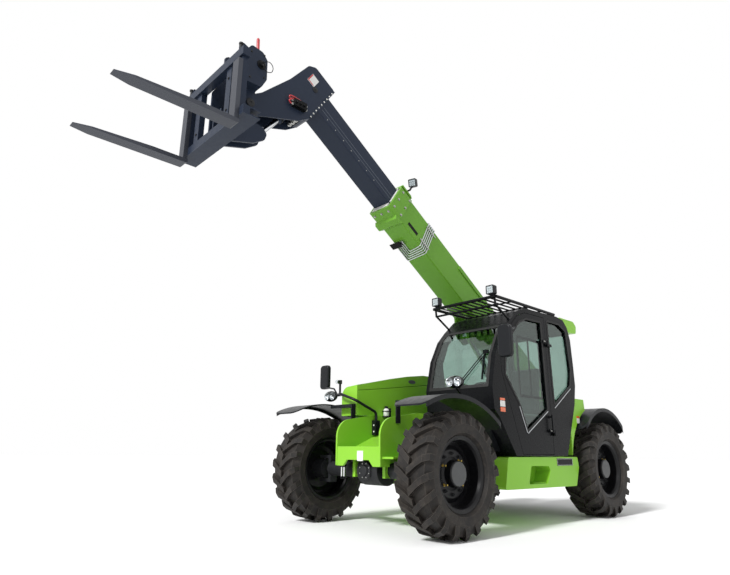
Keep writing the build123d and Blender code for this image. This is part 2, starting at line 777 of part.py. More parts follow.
def boom_outer():
    low = -outer_below_pivot
    high = low + outer_height
    body = box_tube(-outer_tail, outer_reach, outer_width, low, high, outer_wall)
    body += block(-outer_tail, -outer_tail + 12, boom_centre - outer_width / 2, boom_centre + outer_width / 2, low, high)
    collar_start = outer_reach - collar_length
    body += box_tube(collar_start, outer_reach, outer_width + 36, low - 18, high + 18, outer_wall + 18)
    body += side_plate(
        [(collar_start - 60, low + 1), (collar_start - 20, low - 58), (collar_start + 60, low - 58), (collar_start + 90, low - 17)],
        boom_centre - outer_width / 2 - 18, boom_centre + outer_width / 2 + 18, [0, 12, 12, 0],
    )
    body += side_plate(
        [(collar_start + 20, high + 17), (collar_start + 50, high + 40), (outer_reach, high + 40), (outer_reach, high + 17)],
        boom_centre - outer_width / 2 + 30, boom_centre + outer_width / 2 + 18,
    )
    left = boom_centre + outer_width / 2
    body += block(1350, 2370, left - 2, left + boom_rib, high - 70, high - 14)
    body += block(700, 1250, left - 2, left + boom_rib, low + 14, low + 80)
    boss = pin_y(0, 0, boom_centre - outer_width / 2 - 5, boom_centre + outer_width / 2 + 5, pivot_boss_radius)
    body += boss
    for y in lift_ears():
        bracket = side_plate(
            [
                (lift_eye_u - 2 * lift_ear_reach, low + 1), (lift_eye_u - lift_ear_rise, -lift_eye_drop - lift_ear_rise),
                (lift_eye_u + lift_ear_rise, -lift_eye_drop - lift_ear_rise), (lift_eye_u + 2 * lift_ear_reach, low + 1),
            ],
            y, y + lift_ear_plate,
        )
        body += bracket
    bore = pin_y(0, 0, boom_centre - 300, boom_centre + 300, pivot_pin_radius + pin_clearance)
    return on_boom(body - bore)


def wear_pads():
    """Pads inside the outer boom's mouth that the inner boom slides on."""
    low = -outer_below_pivot + outer_wall
    high = -outer_below_pivot + outer_height - outer_wall
    half_in = inner_width / 2 + seat_gap
    half_out = outer_width / 2 - outer_wall
    u0 = outer_reach - 130
    u1 = outer_reach + collar_lip
    inner_low = -inner_below_pivot - seat_gap
    inner_high = inner_height - inner_below_pivot + seat_gap
    pads = [
        block(u0, u1, boom_centre - half_in, boom_centre + half_in, low, inner_low),
        block(u0, u1, boom_centre - half_in, boom_centre + half_in, inner_high, high),
        block(u0, u1, boom_centre - half_out, boom_centre - half_in, inner_low + 20, inner_high - 20),
        block(u0, u1, boom_centre + half_in, boom_centre + half_out, inner_low + 20, inner_high - 20),
    ]
    return [on_boom(p) for p in pads]


def boom_inner():
    low = -inner_below_pivot
    return on_boom(box_tube(inner_start, inner_reach, inner_width, low, low + inner_height, inner_wall))


def boom_head():
    """Gooseneck: two side plates with a cover over their upper edge, open below for the tilt cylinder."""
    u = inner_reach
    c_u = carriage_pivot_u
    c_w = -carriage_pivot_drop
    outline = [
        (u, 300), (u + 30, 357), (u + 345, 350), (u + 415, 270), (u + 450, -120), (u + 545, -600), (c_u + 95, c_w + 20),
        (c_u + 40, c_w - 95), (c_u - 90, c_w - 80), (u + 350, -780), (u + 70, -420), (u, -250),
    ]
    radii = [0, 10, 60, 60, 200, 200, 40, 60, 60, 120, 60, 0]
    half = inner_width / 2
    y0, y1 = boom_centre - half, boom_centre + half
    solid = side_plate(outline, y0, y1, radii)
    inside = side_plate(shrink(outline, head_plate), y0 + head_plate, y1 - head_plate, 20)
    below = side_plate(
        [
            (u + 20, -300), (u + 90, -380), (u + 380, -560), (c_u - 140, c_w + 150), (c_u - 100, c_w + 40),
            (c_u - 60, c_w - 60), (c_u + 40, c_w - 70), (c_u + 120, c_w - 40), (c_u + 150, c_w - 200), (u - 10, -900),
        ],
        y0 + head_plate, y1 - head_plate,
    )
    body = solid - inside - below
    for y in (y0 - 6, y1 - 1):
        body += block(u, u + 26, y, y + 7, -255, 345)
    body += pin_y(c_u, c_w, y0, y1, 70)
    body -= pin_y(c_u, c_w, y0 - 1, y1 + 1, carriage_pin_radius + pin_clearance)
    return on_boom(body) + pin_y(tilt_base_x, tilt_base_z, y0 + 1, y1 - 1, tilt_pin_radius)


# ---- cylinders ----------------------------------------------------------------------------------
def barrel(length, radius, bore, eye_radius, eye_width, pin_radius):
    """Cylinder body along +X from its eye at the origin."""
    body = rod((eye_radius * 0.5, 0, 0), (length, 0, 0), radius)
    body -= rod((eye_radius + 30, 0, 0), (length + 1, 0, 0), bore + seat_gap)
    body += rod((0, -eye_width / 2, 0), (0, eye_width / 2, 0), eye_radius)
    body -= rod((0, -eye_width, 0), (0, eye_width, 0), pin_radius + pin_clearance)
    return body


def piston_rod(reach, length, radius, eye_radius, eye_width):
    """Rod along +X that ends in its eye, a pin's length wide, at the given reach."""
    body = rod((reach - length, 0, 0), (reach, 0, 0), radius)
    body += rod((reach, -eye_width / 2, 0), (reach, eye_width / 2, 0), eye_radius)
    return body


# ---- carriage -------------------------------------------------------------------------------------
def at_pivot(shape):
    """Place a shape drawn about the carriage's pivot."""
    return Pos(carriage_pivot_x, 0, carriage_pivot_z) * shape


def carriage():
    """Fork frame with its hook plates and covers beside the head, and the levers that the tilt rod pushes."""
    half = carriage_width / 2
    y0, y1 = boom_centre - half, boom_centre + half
    front = fork_heel_ahead - fork_thickness - seat_gap
    back = front - carriage_depth
    low = -475
    top = 260
    beam_back = back - 120
    body = block(beam_back, front, y0, y1, low, low + carriage_bar_height)
    body -= block(beam_back - 1, back - 10, y0 - 1, y1 + 1, low + 14, low + carriage_bar_height - 14)
    body += block(back, front + 20, y0 + 50, y1 - 50, top - carriage_bar_height, top)
    for y in (-fork_spread, -300, 300, fork_spread):
        body += block(back, front, boom_centre + y - 45, boom_centre + y + 45, low, top - 1)
    for y in (-490, 476):
        ear = side_plate([(back + 5, top - 5), (front + 15, top - 5), (front - 5, top + 78), (back + 25, top + 78)], y, y + 14, 8)
        ear -= pin_y((back + front) / 2, top + 48, y - 1, y + 15, 13)
        body += Pos(0, boom_centre, 0) * ear
    hook = [
        (back, -440), (back, 160), (159, 360), (159, 630), (119, 660), (-31, 600), (-106, 500), (-111, 240),
        (-51, 150), (-80, 20), (-60, -60), (39, -180), (129, -440),
    ]
    cover = [(139, 140), (139, 510), (89, 580), (-41, 560), (-101, 490), (-106, 260), (-51, 150)]
    plate_gap = inner_width / 2 + 8
    for side in (-1, 1):
        y = sorted((boom_centre + side * plate_gap, boom_centre + side * (plate_gap + 25)))
        plate = side_plate(hook, *y, [0, 20, 30, 20, 20, 40, 40, 30, 20, 30, 30, 40, 0])
        body += plate
        y = sorted((boom_centre + side * (plate_gap + 24), boom_centre + side * 285))
        body += side_plate(cover, *y, [20, 40, 40, 40, 40, 40, 20])
    lever = [
        (back, -450), (back, -140), (89, -90), (-131, -130), (-231, -155), (-276, -210), (-251, -285), (-121, -370),
        (139, -450),
    ]
    lever_half = tilt_eye_width / 2 + 10
    for y in (boom_centre - lever_half - 22, boom_centre + lever_half):
        body += side_plate(lever, y, y + 22, [0, 0, 60, 60, 40, 40, 40, 60, 0])
    body += pin_y(0, 0, boom_centre - plate_gap - 37, boom_centre + plate_gap + 37, carriage_pin_radius)
    return at_pivot(body)


def fork(y):
    """One fork: shank up the carriage and a blade that thins and narrows towards its tip."""
    x = fork_heel_x
    z = fork_heel_z
    t = fork_thickness
    half = fork_width / 2
    tip = x + fork_length
    blade = side_plate(
        [(x - t, z), (tip, z), (tip, z + 10), (x + 320, z + t), (x - t, z + t)], y - half, y + half, [18, 0, 5, 0, 0]
    )
    plan = [
        (x - t, y - half), (tip - 160, y - half), (tip, y - half + 34), (tip, y + half - 34), (tip - 160, y + half),
        (x - t, y + half),
    ]
    blade &= plan_plate(plan, z - 1, z + t + 1)
    shank_half = fork_shank_width / 2
    return blade + block(x - t, x, y - shank_half, y + shank_half, z + 20, z + fork_shank_height)


# ---- trim -------------------------------------------------------------------------------------------
def mirror_head(x, y0, y1, z0, z1):
    """Mirror housing that faces the cab, with rounded corners and a bulged back."""
    head = block(x, x + 46, y0, y1, z0, z1)
    head = fillet(head.edges().filter_by(Axis.X), 45)
    return fillet(head.faces().sort_by(Axis.X)[-1].edges(), 18)


def mirror_left():
    """Tall mirror on an arm from the cab's front pillar."""
    arm = bent_tube([(578, 1050.3, 2060), (578, 1180, 2060), (858, 1230, 1960), (858, 1230, 1900)], 11, 30)
    return arm + mirror_head(838, 1150, 1310, 1700, 2040)


def mirror_right():
    """Mirror and headlamp stay that rises from a box on the chassis and reaches round the hood."""
    foot = block(1165, 1235, -358, -298, 938, 1100)
    arm = bent_tube(
        [
            (1200, -325, 1095), (1200, -325, 1190), (1530, -330, 1315), (1530, -600, 1400), (1400, -710, 1400),
            (1400, -815, 1400),
        ],
        16, 55,
    )
    stay = bent_tube([(1400, -785, 1405), (1400, -850, 1480), (1290, -1160, 1530)], 10, 20)
    post = rod((1400, -740, 1405), (1400, -740, 1530), 13) + rod((1400, -740, 1530), (1400, -740, 1575), 24)
    return foot + arm + stay + post + mirror_head(1270, -1240, -1080, 1505, 1805)


def lamp(x, y, z, size):
    """Square work lamp with its lens toward +X."""
    body = block(x - 32, x + 28, y - size / 2, y + size / 2, z - size / 2, z + size / 2)
    return fillet(body.edges().filter_by(Axis.X), 12)


def roof_lamps():
    """Two square work lamps on the guard's front corners."""
    size = 100
    foot_z = cab_guard_z + 18 + seat_gap
    lamps = []
    for y in (cab_right + 60, cab_left - 60):
        foot = block(690, 710, y - 20, y + 20, foot_z, foot_z + 12)
        lamps.append(lamp(700, y, foot_z + 10 + size / 2, size) + foot)
    return lamps


def headlamps():
    """Oval lamps over the front fenders; the left one stands on a stalk from the cab's nose."""
    left = Pos(1320, 915, 1430) * scale(Sphere(60), by=(0.8, 1.5, 1))
    left += bent_tube([(855, 830, 1250), (1000, 830, 1250), (1290, 900, 1390)], 12, 40)
    right = Pos(1400, -908, 1393) * scale(Sphere(60), by=(0.8, 1.5, 1))
    right += rod((1400, -815 - seat_gap, 1400), (1400, -880, 1400), 10)
    return [left, right]


def boom_lamp():
    """Square work lamp on an arm beside the collar's top."""
    u = outer_reach - 110
    w = outer_height - outer_below_pivot + 40
    y = boom_centre + outer_width / 2 - 12
    foot = block(u - 15, u + 15, y - 20, y + 20, w, w + 14)
    arm = block(u - 9, u + 9, y - 9, y + 60, w + 10, w + 28) + block(u - 9, u + 9, y + 42, y + 60, w + 10, w + 100)
    body = block(u - 22, u + 30, y, y + 104, w + 90, w + 194)
    return on_boom(foot + arm + fillet(body.edges().filter_by(Axis.X), 12))


def boom_pipes():
    """Steel pipes over the outer boom's left edge, down its side and under it to a clamp."""
    low = -outer_below_pivot
    high = low + outer_height
    left = boom_centre + outer_width / 2
    lift = pipe_radius + seat_gap
    pipes = []
    for i in range(pipe_count):
        u = 3133 - i * pipe_pitch
        y = left - 190 - i * pipe_pitch
        pipes.append(bent_tube(
            [
                (u, left - 60, high + lift), (u, left + lift, high + lift), (u - 45, left + lift, low - lift),
                (u - 75, y, low - lift), (clamp_u + 10, y, low - lift),
            ],
            pipe_radius, 14,
        ))
    last = left - 190 - (pipe_count - 1) * pipe_pitch
    clamp = block(clamp_u, clamp_u + clamp_length, last - 22, left - 168, low - 2 * lift - 12, low - seat_gap)
    pipes.append(clamp)
    joined = pipes[0]
    for piece in pipes[1:]:
        joined = joined + piece
    return on_boom(joined)


def seat():
    base = block(-420, -120, 470, 780, cab_floor + cab_wall, 1080)
    cushion = block(-450, 10, 420, 860, 1080, 1200)
    back = side_plate([(-450, 1200), (-560, 1780), (-460, 1800), (-330, 1200)], 430, 850)
    return base + cushion + back


def steering_column():
    column = rod((400, 640, cab_floor + cab_wall + 16), (300, 640, 1440), 40)
    column += block(350, 450, 580, 700, cab_floor + cab_wall, cab_floor + cab_wall + 30)
    wheel = Plane(origin=(292, 640, 1478), z_dir=(-130, 0, 672)) * Torus(180, 14)
    spokes = Plane(origin=(292, 640, 1478), z_dir=(-130, 0, 672)) * Box(360, 40, 12)
    hub = rod((303, 640, 1420), (290, 640, 1486), 36)
    return column + wheel + spokes + hub


def tow_hitch():
    plate = block(frame_tail - 165, frame_tail - 130 - seat_gap, -90, 90, 600, 860)
    jaw = block(frame_tail - 275, frame_tail - 160, -60, 60, 640, 670) + block(
        frame_tail - 275, frame_tail - 160, -60, 60, 750, 780)
    body = plate + jaw
    return body - rod((frame_tail - 225, 0, 600), (frame_tail - 225, 0, 800), hitch_bore_radius)


def tail_lamps():
    x0 = frame_tail - 130 - seat_gap
    return [block(x0 - 40, x0, y - 55, y + 55, 1000, 1080) for y in (-460, 460)]


def rear_cowl():
    """Housing across the rear edge of the cab roof."""
    cowl = side_plate(
        [(-700, 2300), (-700, 2404), (-1050, 2404), (-1120, 2350), (-1100, 2250), (-860, 2235), (-800, 2235)],
        cab_right + 20, cab_left - 10, [0, 0, 50, 30, 30, 0, 0],
    )
    return cowl - side_plate(shrink(cab_outline, -seat_gap), cab_right, cab_left)


# ---- write every node --------------------------------------------------------------------------------
os.makedirs("parts", exist_ok=True)

save("chassis_frame", chassis())
save("left_step_beam", left_step_beam())
save("left_rear_tower", left_rear_tower())
save("right_tank_pod", right_pod())
save("engine_block", engine_block())
save("engine_bay_wall", engine_wall())
save("engine_hood", hood())
save("counterweight", counterweight())

# corner: name, axle X, side of Y, way its steering arm points
corners = [
    ("front_left", front_axle_x, 1, -1),
    ("front_right", front_axle_x, -1, -1),
    ("rear_left", rear_axle_x, 1, 1),
    ("rear_right", rear_axle_x, -1, 1),
]
for name, x, side, arm_way in corners:
    wheel_place = Pos(x, side * wheel_track / 2, axle_height)
    wheel_rim = rim()
    if side < 0:
        wheel_rim = mirror_y(wheel_rim)
    save(f"tyre_{name}", wheel_place * tyre())
    save(f"rim_{name}", wheel_place * wheel_rim)
    save(f"knuckle_{name}", Pos(x, 0, axle_height) * knuckle(side, arm_way))

# axle: name, X, way its steering arms point, then its fenders: centre ahead and above, radius, end angles
axles = [
    ("front", front_axle_x, -1, 73, -354, 1067, 132.7, 63.4),
    ("rear", rear_axle_x, 1, rear_arch_ahead, rear_arch_above, rear_arch_radius, 143, 40),
]
for name, x, arm_way, ahead, above, arch_radius, rear_end, front_end in axles:
    turned = Rot(0, 0, 0 if arm_way > 0 else 180)
    save(f"{name}_axle", Pos(x, 0, axle_height) * turned * axle())
    save(f"{name}_steering_rod", Pos(x + arm_way * steering_arm, 0, axle_height) * steering_rod())
    arch_centre = (x + ahead, axle_height + above)
    pair = [fender(side, x, arch_centre, arch_radius, rear_end, front_end) for side in (1, -1)]
    save(f"{name}_fenders", *pair)

save("cab_floor", cab_floor_pan())
save("cab_left_frame", cab_left_frame())
save("cab_right_frame", cab_right_frame())
save("cab_front_frame", cab_front_frame())
save("cab_rear_frame", cab_rear_frame())
save("cab_roof", cab_roof())
save("windshield", bent_pane(front_opening, 400, 900, -1))
save("cab_windows",
     bent_pane(rear_opening, -960, -800, 1),
     roof_pane(),
     window_pane(shrink(quarter_window, 0.5), cab_left - 26, cab_left - 20),
     window_pane(shrink(right_window, 0.5), cab_right + 20, cab_right + 26))
save("cab_door", door())
save("door_window", window_pane(shrink(door_window, 0.5), cab_left - 26, cab_left - 20))
save("roof_guard", roof_guard())
save("roof_cowl", rear_cowl())
save("operator_seat", seat())
save("steering_column", steering_column())

save("boom_outer", boom_outer())
save("wear_pads", *wear_pads())
save("boom_pipes", boom_pipes())
save("boom_lamp", boom_lamp())
save("boom_inner", boom_inner())
save("boom_head", boom_head())

lift_body = barrel(
    lift_barrel_length, lift_barrel_radius, lift_rod_radius, lift_eye_radius, lift_eye_width, lift_pin_radius
)
lift_stem = piston_rod(lift_length, lift_rod_length, lift_rod_radius, lift_eye_radius, lift_eye_width)
tilt_body = barrel(
    tilt_barrel_length, tilt_barrel_radius, tilt_rod_radius, tilt_eye_radius, tilt_eye_width, tilt_pin_radius
)
tilt_stem = piston_rod(tilt_length, tilt_rod_length, tilt_rod_radius, tilt_eye_radius, tilt_eye_width)
save("lift_cylinder_barrel", aimed(lift_body, lift_anchor_x, lift_anchor_z, lift_eye_x, lift_eye_z))
save("lift_cylinder_rod", aimed(lift_stem, lift_anchor_x, lift_anchor_z, lift_eye_x, lift_eye_z))
save("tilt_cylinder_barrel", aimed(tilt_body, tilt_base_x, tilt_base_z, tilt_eye_x, tilt_eye_z))
save("tilt_cylinder_rod", aimed(tilt_stem, tilt_base_x, tilt_base_z, tilt_eye_x, tilt_eye_z))

save("carriage_frame", carriage())
for name, side in (("left", 1), ("right", -1)):
    save(f"fork_{name}", fork(boom_centre + side * fork_spread))

save("mirrors", mirror_left(), mirror_right())
save("roof_lamps", *roof_lamps())
save("headlamps", *headlamps())
save("tail_lamps", *tail_lamps())
save("tow_hitch", tow_hitch())
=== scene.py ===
import json
import math

import bmesh
import bpy
from mathutils import Matrix, Vector


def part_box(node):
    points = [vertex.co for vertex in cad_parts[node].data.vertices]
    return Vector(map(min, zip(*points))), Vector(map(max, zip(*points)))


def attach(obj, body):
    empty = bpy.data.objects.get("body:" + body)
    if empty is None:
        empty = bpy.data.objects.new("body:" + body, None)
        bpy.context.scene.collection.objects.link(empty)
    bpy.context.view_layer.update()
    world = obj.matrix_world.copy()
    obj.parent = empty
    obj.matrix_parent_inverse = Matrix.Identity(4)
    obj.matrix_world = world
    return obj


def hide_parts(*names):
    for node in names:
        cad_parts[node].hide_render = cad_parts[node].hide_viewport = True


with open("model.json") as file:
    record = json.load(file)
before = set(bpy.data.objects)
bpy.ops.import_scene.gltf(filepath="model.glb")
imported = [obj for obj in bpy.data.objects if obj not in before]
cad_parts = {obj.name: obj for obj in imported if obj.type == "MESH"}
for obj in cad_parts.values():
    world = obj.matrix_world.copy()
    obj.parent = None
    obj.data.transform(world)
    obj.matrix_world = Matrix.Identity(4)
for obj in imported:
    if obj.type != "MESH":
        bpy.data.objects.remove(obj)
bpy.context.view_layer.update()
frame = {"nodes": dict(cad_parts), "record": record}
nodes = frame["nodes"]
print("frame loaded:", len(nodes), "nodes")

wheelbaseMiddle = 1.148  # the origin stands this far behind the middle of the wheelbase
boomAim = {"pivot": (-1.9, 1.675), "angle": math.radians(33.9), "middle": -0.17}
headEnd = 5.15  # where the gooseneck starts, along the boom


# x from mid-wheelbase, y from the centreline, z from the ground, all in metres
def at(x, y, z):
    return Vector((x - wheelbaseMiddle, y, z))


# u along the boom from its pivot, w square to it
def alongBoom(u, y, w):
    c, s = math.cos(boomAim["angle"]), math.sin(boomAim["angle"])
    px, pz = boomAim["pivot"]
    return at(px + u * c - w * s, y, pz + u * s + w * c)


xWay, yWay, zWay = Vector((1, 0, 0)), Vector((0, 1, 0)), Vector((0, 0, 1))
boomWay = alongBoom(1, 0, 0) - alongBoom(0, 0, 0)
boomUp = alongBoom(0, 0, 1) - alongBoom(0, 0, 0)
boomWays = (boomWay, yWay, boomUp)


def freshMaterial(name):
    made = bpy.data.materials.new(name)
    made.use_nodes = True
    tree = made.node_tree
    return made, tree, tree.nodes["Principled BSDF"]


def coordinates(tree):
    found = tree.nodes.get("spots")
    if found is None:
        found = tree.nodes.new("ShaderNodeTexCoord")
        found.name = "spots"
    return found


def noiseOf(tree, scale, detail=4.0, roughness=0.55):
    noise = tree.nodes.new("ShaderNodeTexNoise")
    noise.inputs["Scale"].default_value = scale
    noise.inputs["Detail"].default_value = detail
    noise.inputs["Roughness"].default_value = roughness
    tree.links.new(coordinates(tree).outputs["Object"], noise.inputs["Vector"])
    return noise.outputs["Fac"]


def rampOf(tree, source, stops):
    ramp = tree.nodes.new("ShaderNodeValToRGB")
    while len(ramp.color_ramp.elements) < len(stops):
        ramp.color_ramp.elements.new(0.5)
    for element, (place, shade) in zip(ramp.color_ramp.elements, stops):
        element.position = place
        element.color = (shade, shade, shade, 1)
    tree.links.new(source, ramp.inputs["Fac"])
    return ramp.outputs["Color"]


def mixOf(tree, amount, first, second):
    mix = tree.nodes.new("ShaderNodeMix")
    mix.data_type = "RGBA"
    for socket, value in ((mix.inputs[0], amount), (mix.inputs[6], first), (mix.inputs[7], second)):
        if hasattr(value, "is_output"):
            tree.links.new(value, socket)
        else:
            socket.default_value = (*value, 1)
    return mix.outputs[2]


def bumpOf(tree, shader, height, strength, distance):
    bump = tree.nodes.new("ShaderNodeBump")
    bump.inputs["Strength"].default_value = strength
    bump.inputs["Distance"].default_value = distance
    tree.links.new(height, bump.inputs["Height"])
    tree.links.new(bump.outputs["Normal"], shader.inputs["Normal"])


# bright along the corners of a form, dark on its flats
def edgeMask(tree, radius, hardness=0.9):
    rounded = tree.nodes.new("ShaderNodeBevel")
    rounded.samples = 4
    rounded.inputs["Radius"].default_value = radius
    flat = tree.nodes.new("ShaderNodeNewGeometry")
    turn = tree.nodes.new("ShaderNodeVectorMath")
    turn.operation = "DOT_PRODUCT"
    tree.links.new(rounded.outputs["Normal"], turn.inputs[0])
    tree.links.new(flat.outputs["Normal"], turn.inputs[1])
    return rampOf(tree, turn.outputs["Value"], [(hardness, 1.0), (0.995, 0.0)])


# what a paint has unless its own look says otherwise
plainPaint = {"driftScale": 1.7, "deep": 0.86, "edgeWidth": 0.004, "dustScale": 6, "dust": 0.16,
              "dustColour": (0.3, 0.27, 0.22), "coat": 0.0, "coatRoughness": 0.08, "metallic": 0.0,
              "gloss": 0.5, "peelScale": 420, "peel": 0.06}


# sprayed coat: slow drift of shade, rubbed edges, road dust and a fine orange peel
def paint(name, ownLook):
    look = {**plainPaint, **ownLook}
    made, tree, shader = freshMaterial(name)
    colour = look["colour"]
    rubbed = look.get("worn", tuple(min(1, c * 1.35 + 0.02) for c in colour))
    drift = noiseOf(tree, look["driftScale"], 3)
    base = mixOf(tree, drift, tuple(c * look["deep"] for c in colour), colour)
    scratch = noiseOf(tree, 38, 6, 0.7)
    worn = tree.nodes.new("ShaderNodeMath")
    worn.operation = "MULTIPLY"
    tree.links.new(edgeMask(tree, look["edgeWidth"]), worn.inputs[0])
    tree.links.new(rampOf(tree, scratch, [(0.48, 0.0), (0.62, 1.0)]), worn.inputs[1])
    base = mixOf(tree, worn.outputs[0], base, rubbed)
    dust = rampOf(tree, noiseOf(tree, look["dustScale"], 8, 0.68), [(0.5, 0.0), (0.78, look["dust"])])
    tree.links.new(mixOf(tree, dust, base, look["dustColour"]), shader.inputs["Base Color"])
    low, high = look["roughness"]
    tree.links.new(rampOf(tree, noiseOf(tree, 24, 5), [(0.3, low), (0.75, high)]), shader.inputs["Roughness"])
    if look["coat"]:
        shader.inputs["Coat Weight"].default_value = look["coat"]
        shader.inputs["Coat Roughness"].default_value = look["coatRoughness"]
    shader.inputs["Metallic"].default_value = look["metallic"]
    shader.inputs["Specular IOR Level"].default_value = look["gloss"]
    bumpOf(tree, shader, noiseOf(tree, look["peelScale"], 2), look["peel"], 0.001)
    return made


# tyre rubber: brown-black, dusty in its hollows, finely pitted
def rubber(name, look):
    made, tree, shader = freshMaterial(name)
    soil = rampOf(tree, noiseOf(tree, 5, 9, 0.7), [(0.4, 0.0), (0.72, 1.0)])
    base = mixOf(tree, soil, look["colour"], look["soil"])
    caked = rampOf(tree, noiseOf(tree, 11, 8, 0.75), [(0.5, 0.0), (0.7, 0.7)])
    base = mixOf(tree, caked, base, look["dirt"])
    base = mixOf(tree, edgeMask(tree, 0.007, 0.8), base, look["edge"])
    tree.links.new(base, shader.inputs["Base Color"])
    shader.inputs["Specular IOR Level"].default_value = 0.3
    fine = noiseOf(tree, 160, 6)
    tree.links.new(rampOf(tree, fine, [(0.3, 0.5), (0.7, 0.8)]), shader.inputs["Roughness"])
    bumpOf(tree, shader, fine, 0.25, 0.002)
    return made


# steel or chrome with drawn scratches along one way
def bareMetal(name, look):
    made, tree, shader = freshMaterial(name)
    stretch = tree.nodes.new("ShaderNodeMapping")
    stretch.inputs["Scale"].default_value = look.get("grain", (3, 60, 60))
    tree.links.new(coordinates(tree).outputs["Object"], stretch.inputs["Vector"])
    streak = tree.nodes.new("ShaderNodeTexNoise")
    streak.inputs["Scale"].default_value = 6
    streak.inputs["Detail"].default_value = 6
    tree.links.new(stretch.outputs["Vector"], streak.inputs["Vector"])
    lines = streak.outputs["Fac"]
    dark = tuple(c * look.get("deep", 0.7) for c in look["colour"])
    tree.links.new(mixOf(tree, lines, dark, look["colour"]), shader.inputs["Base Color"])
    low, high = look["roughness"]
    tree.links.new(rampOf(tree, lines, [(0.25, low), (0.8, high)]), shader.inputs["Roughness"])
    shader.inputs["Metallic"].default_value = look.get("metallic", 1.0)
    bumpOf(tree, shader, lines, look.get("bump", 0.08), 0.001)
    return made


# thin pane: mostly see-through, tinted, and mirror-like where it is seen edge on
def clearGlass(name, look):
    made, tree, shader = freshMaterial(name)
    tree.nodes.remove(shader)
    gloss = tree.nodes.new("ShaderNodeBsdfGlossy")
    gloss.inputs["Roughness"].default_value = 0.03
    gloss.inputs["Color"].default_value = (0.9, 0.95, 0.93, 1)
    through = tree.nodes.new("ShaderNodeBsdfTransparent")
    tint = mixOf(tree, noiseOf(tree, 3.5, 7, 0.7), look["colour"], look["smear"])
    tree.links.new(tint, through.inputs["Color"])
    face = tree.nodes.new("ShaderNodeLayerWeight")
    face.inputs["Blend"].default_value = 0.5
    shine = rampOf(tree, face.outputs["Facing"], [(0.0, 0.05), (0.55, 0.1), (1.0, 0.85)])
    both = tree.nodes.new("ShaderNodeMixShader")
    tree.links.new(shine, both.inputs[0])
    tree.links.new(through.outputs[0], both.inputs[1])
    tree.links.new(gloss.outputs[0], both.inputs[2])
    tree.links.new(both.outputs[0], tree.nodes["Material Output"].inputs["Surface"])
    return made


# woven seat cover with a soft sheen
def cloth(name, look):
    made, tree, shader = freshMaterial(name)
    weave = tree.nodes.new("ShaderNodeTexWave")
    weave.inputs["Scale"].default_value = 90
    weave.inputs["Distortion"].default_value = 1.5
    tree.links.new(coordinates(tree).outputs["Object"], weave.inputs["Vector"])
    threads = weave.outputs["Fac"]
    tree.links.new(mixOf(tree, threads, look["colour"], look["thread"]), shader.inputs["Base Color"])
    shader.inputs["Roughness"].default_value = 0.9
    shader.inputs["Sheen Weight"].default_value = 0.3
    bumpOf(tree, shader, threads, 0.4, 0.002)
    return made


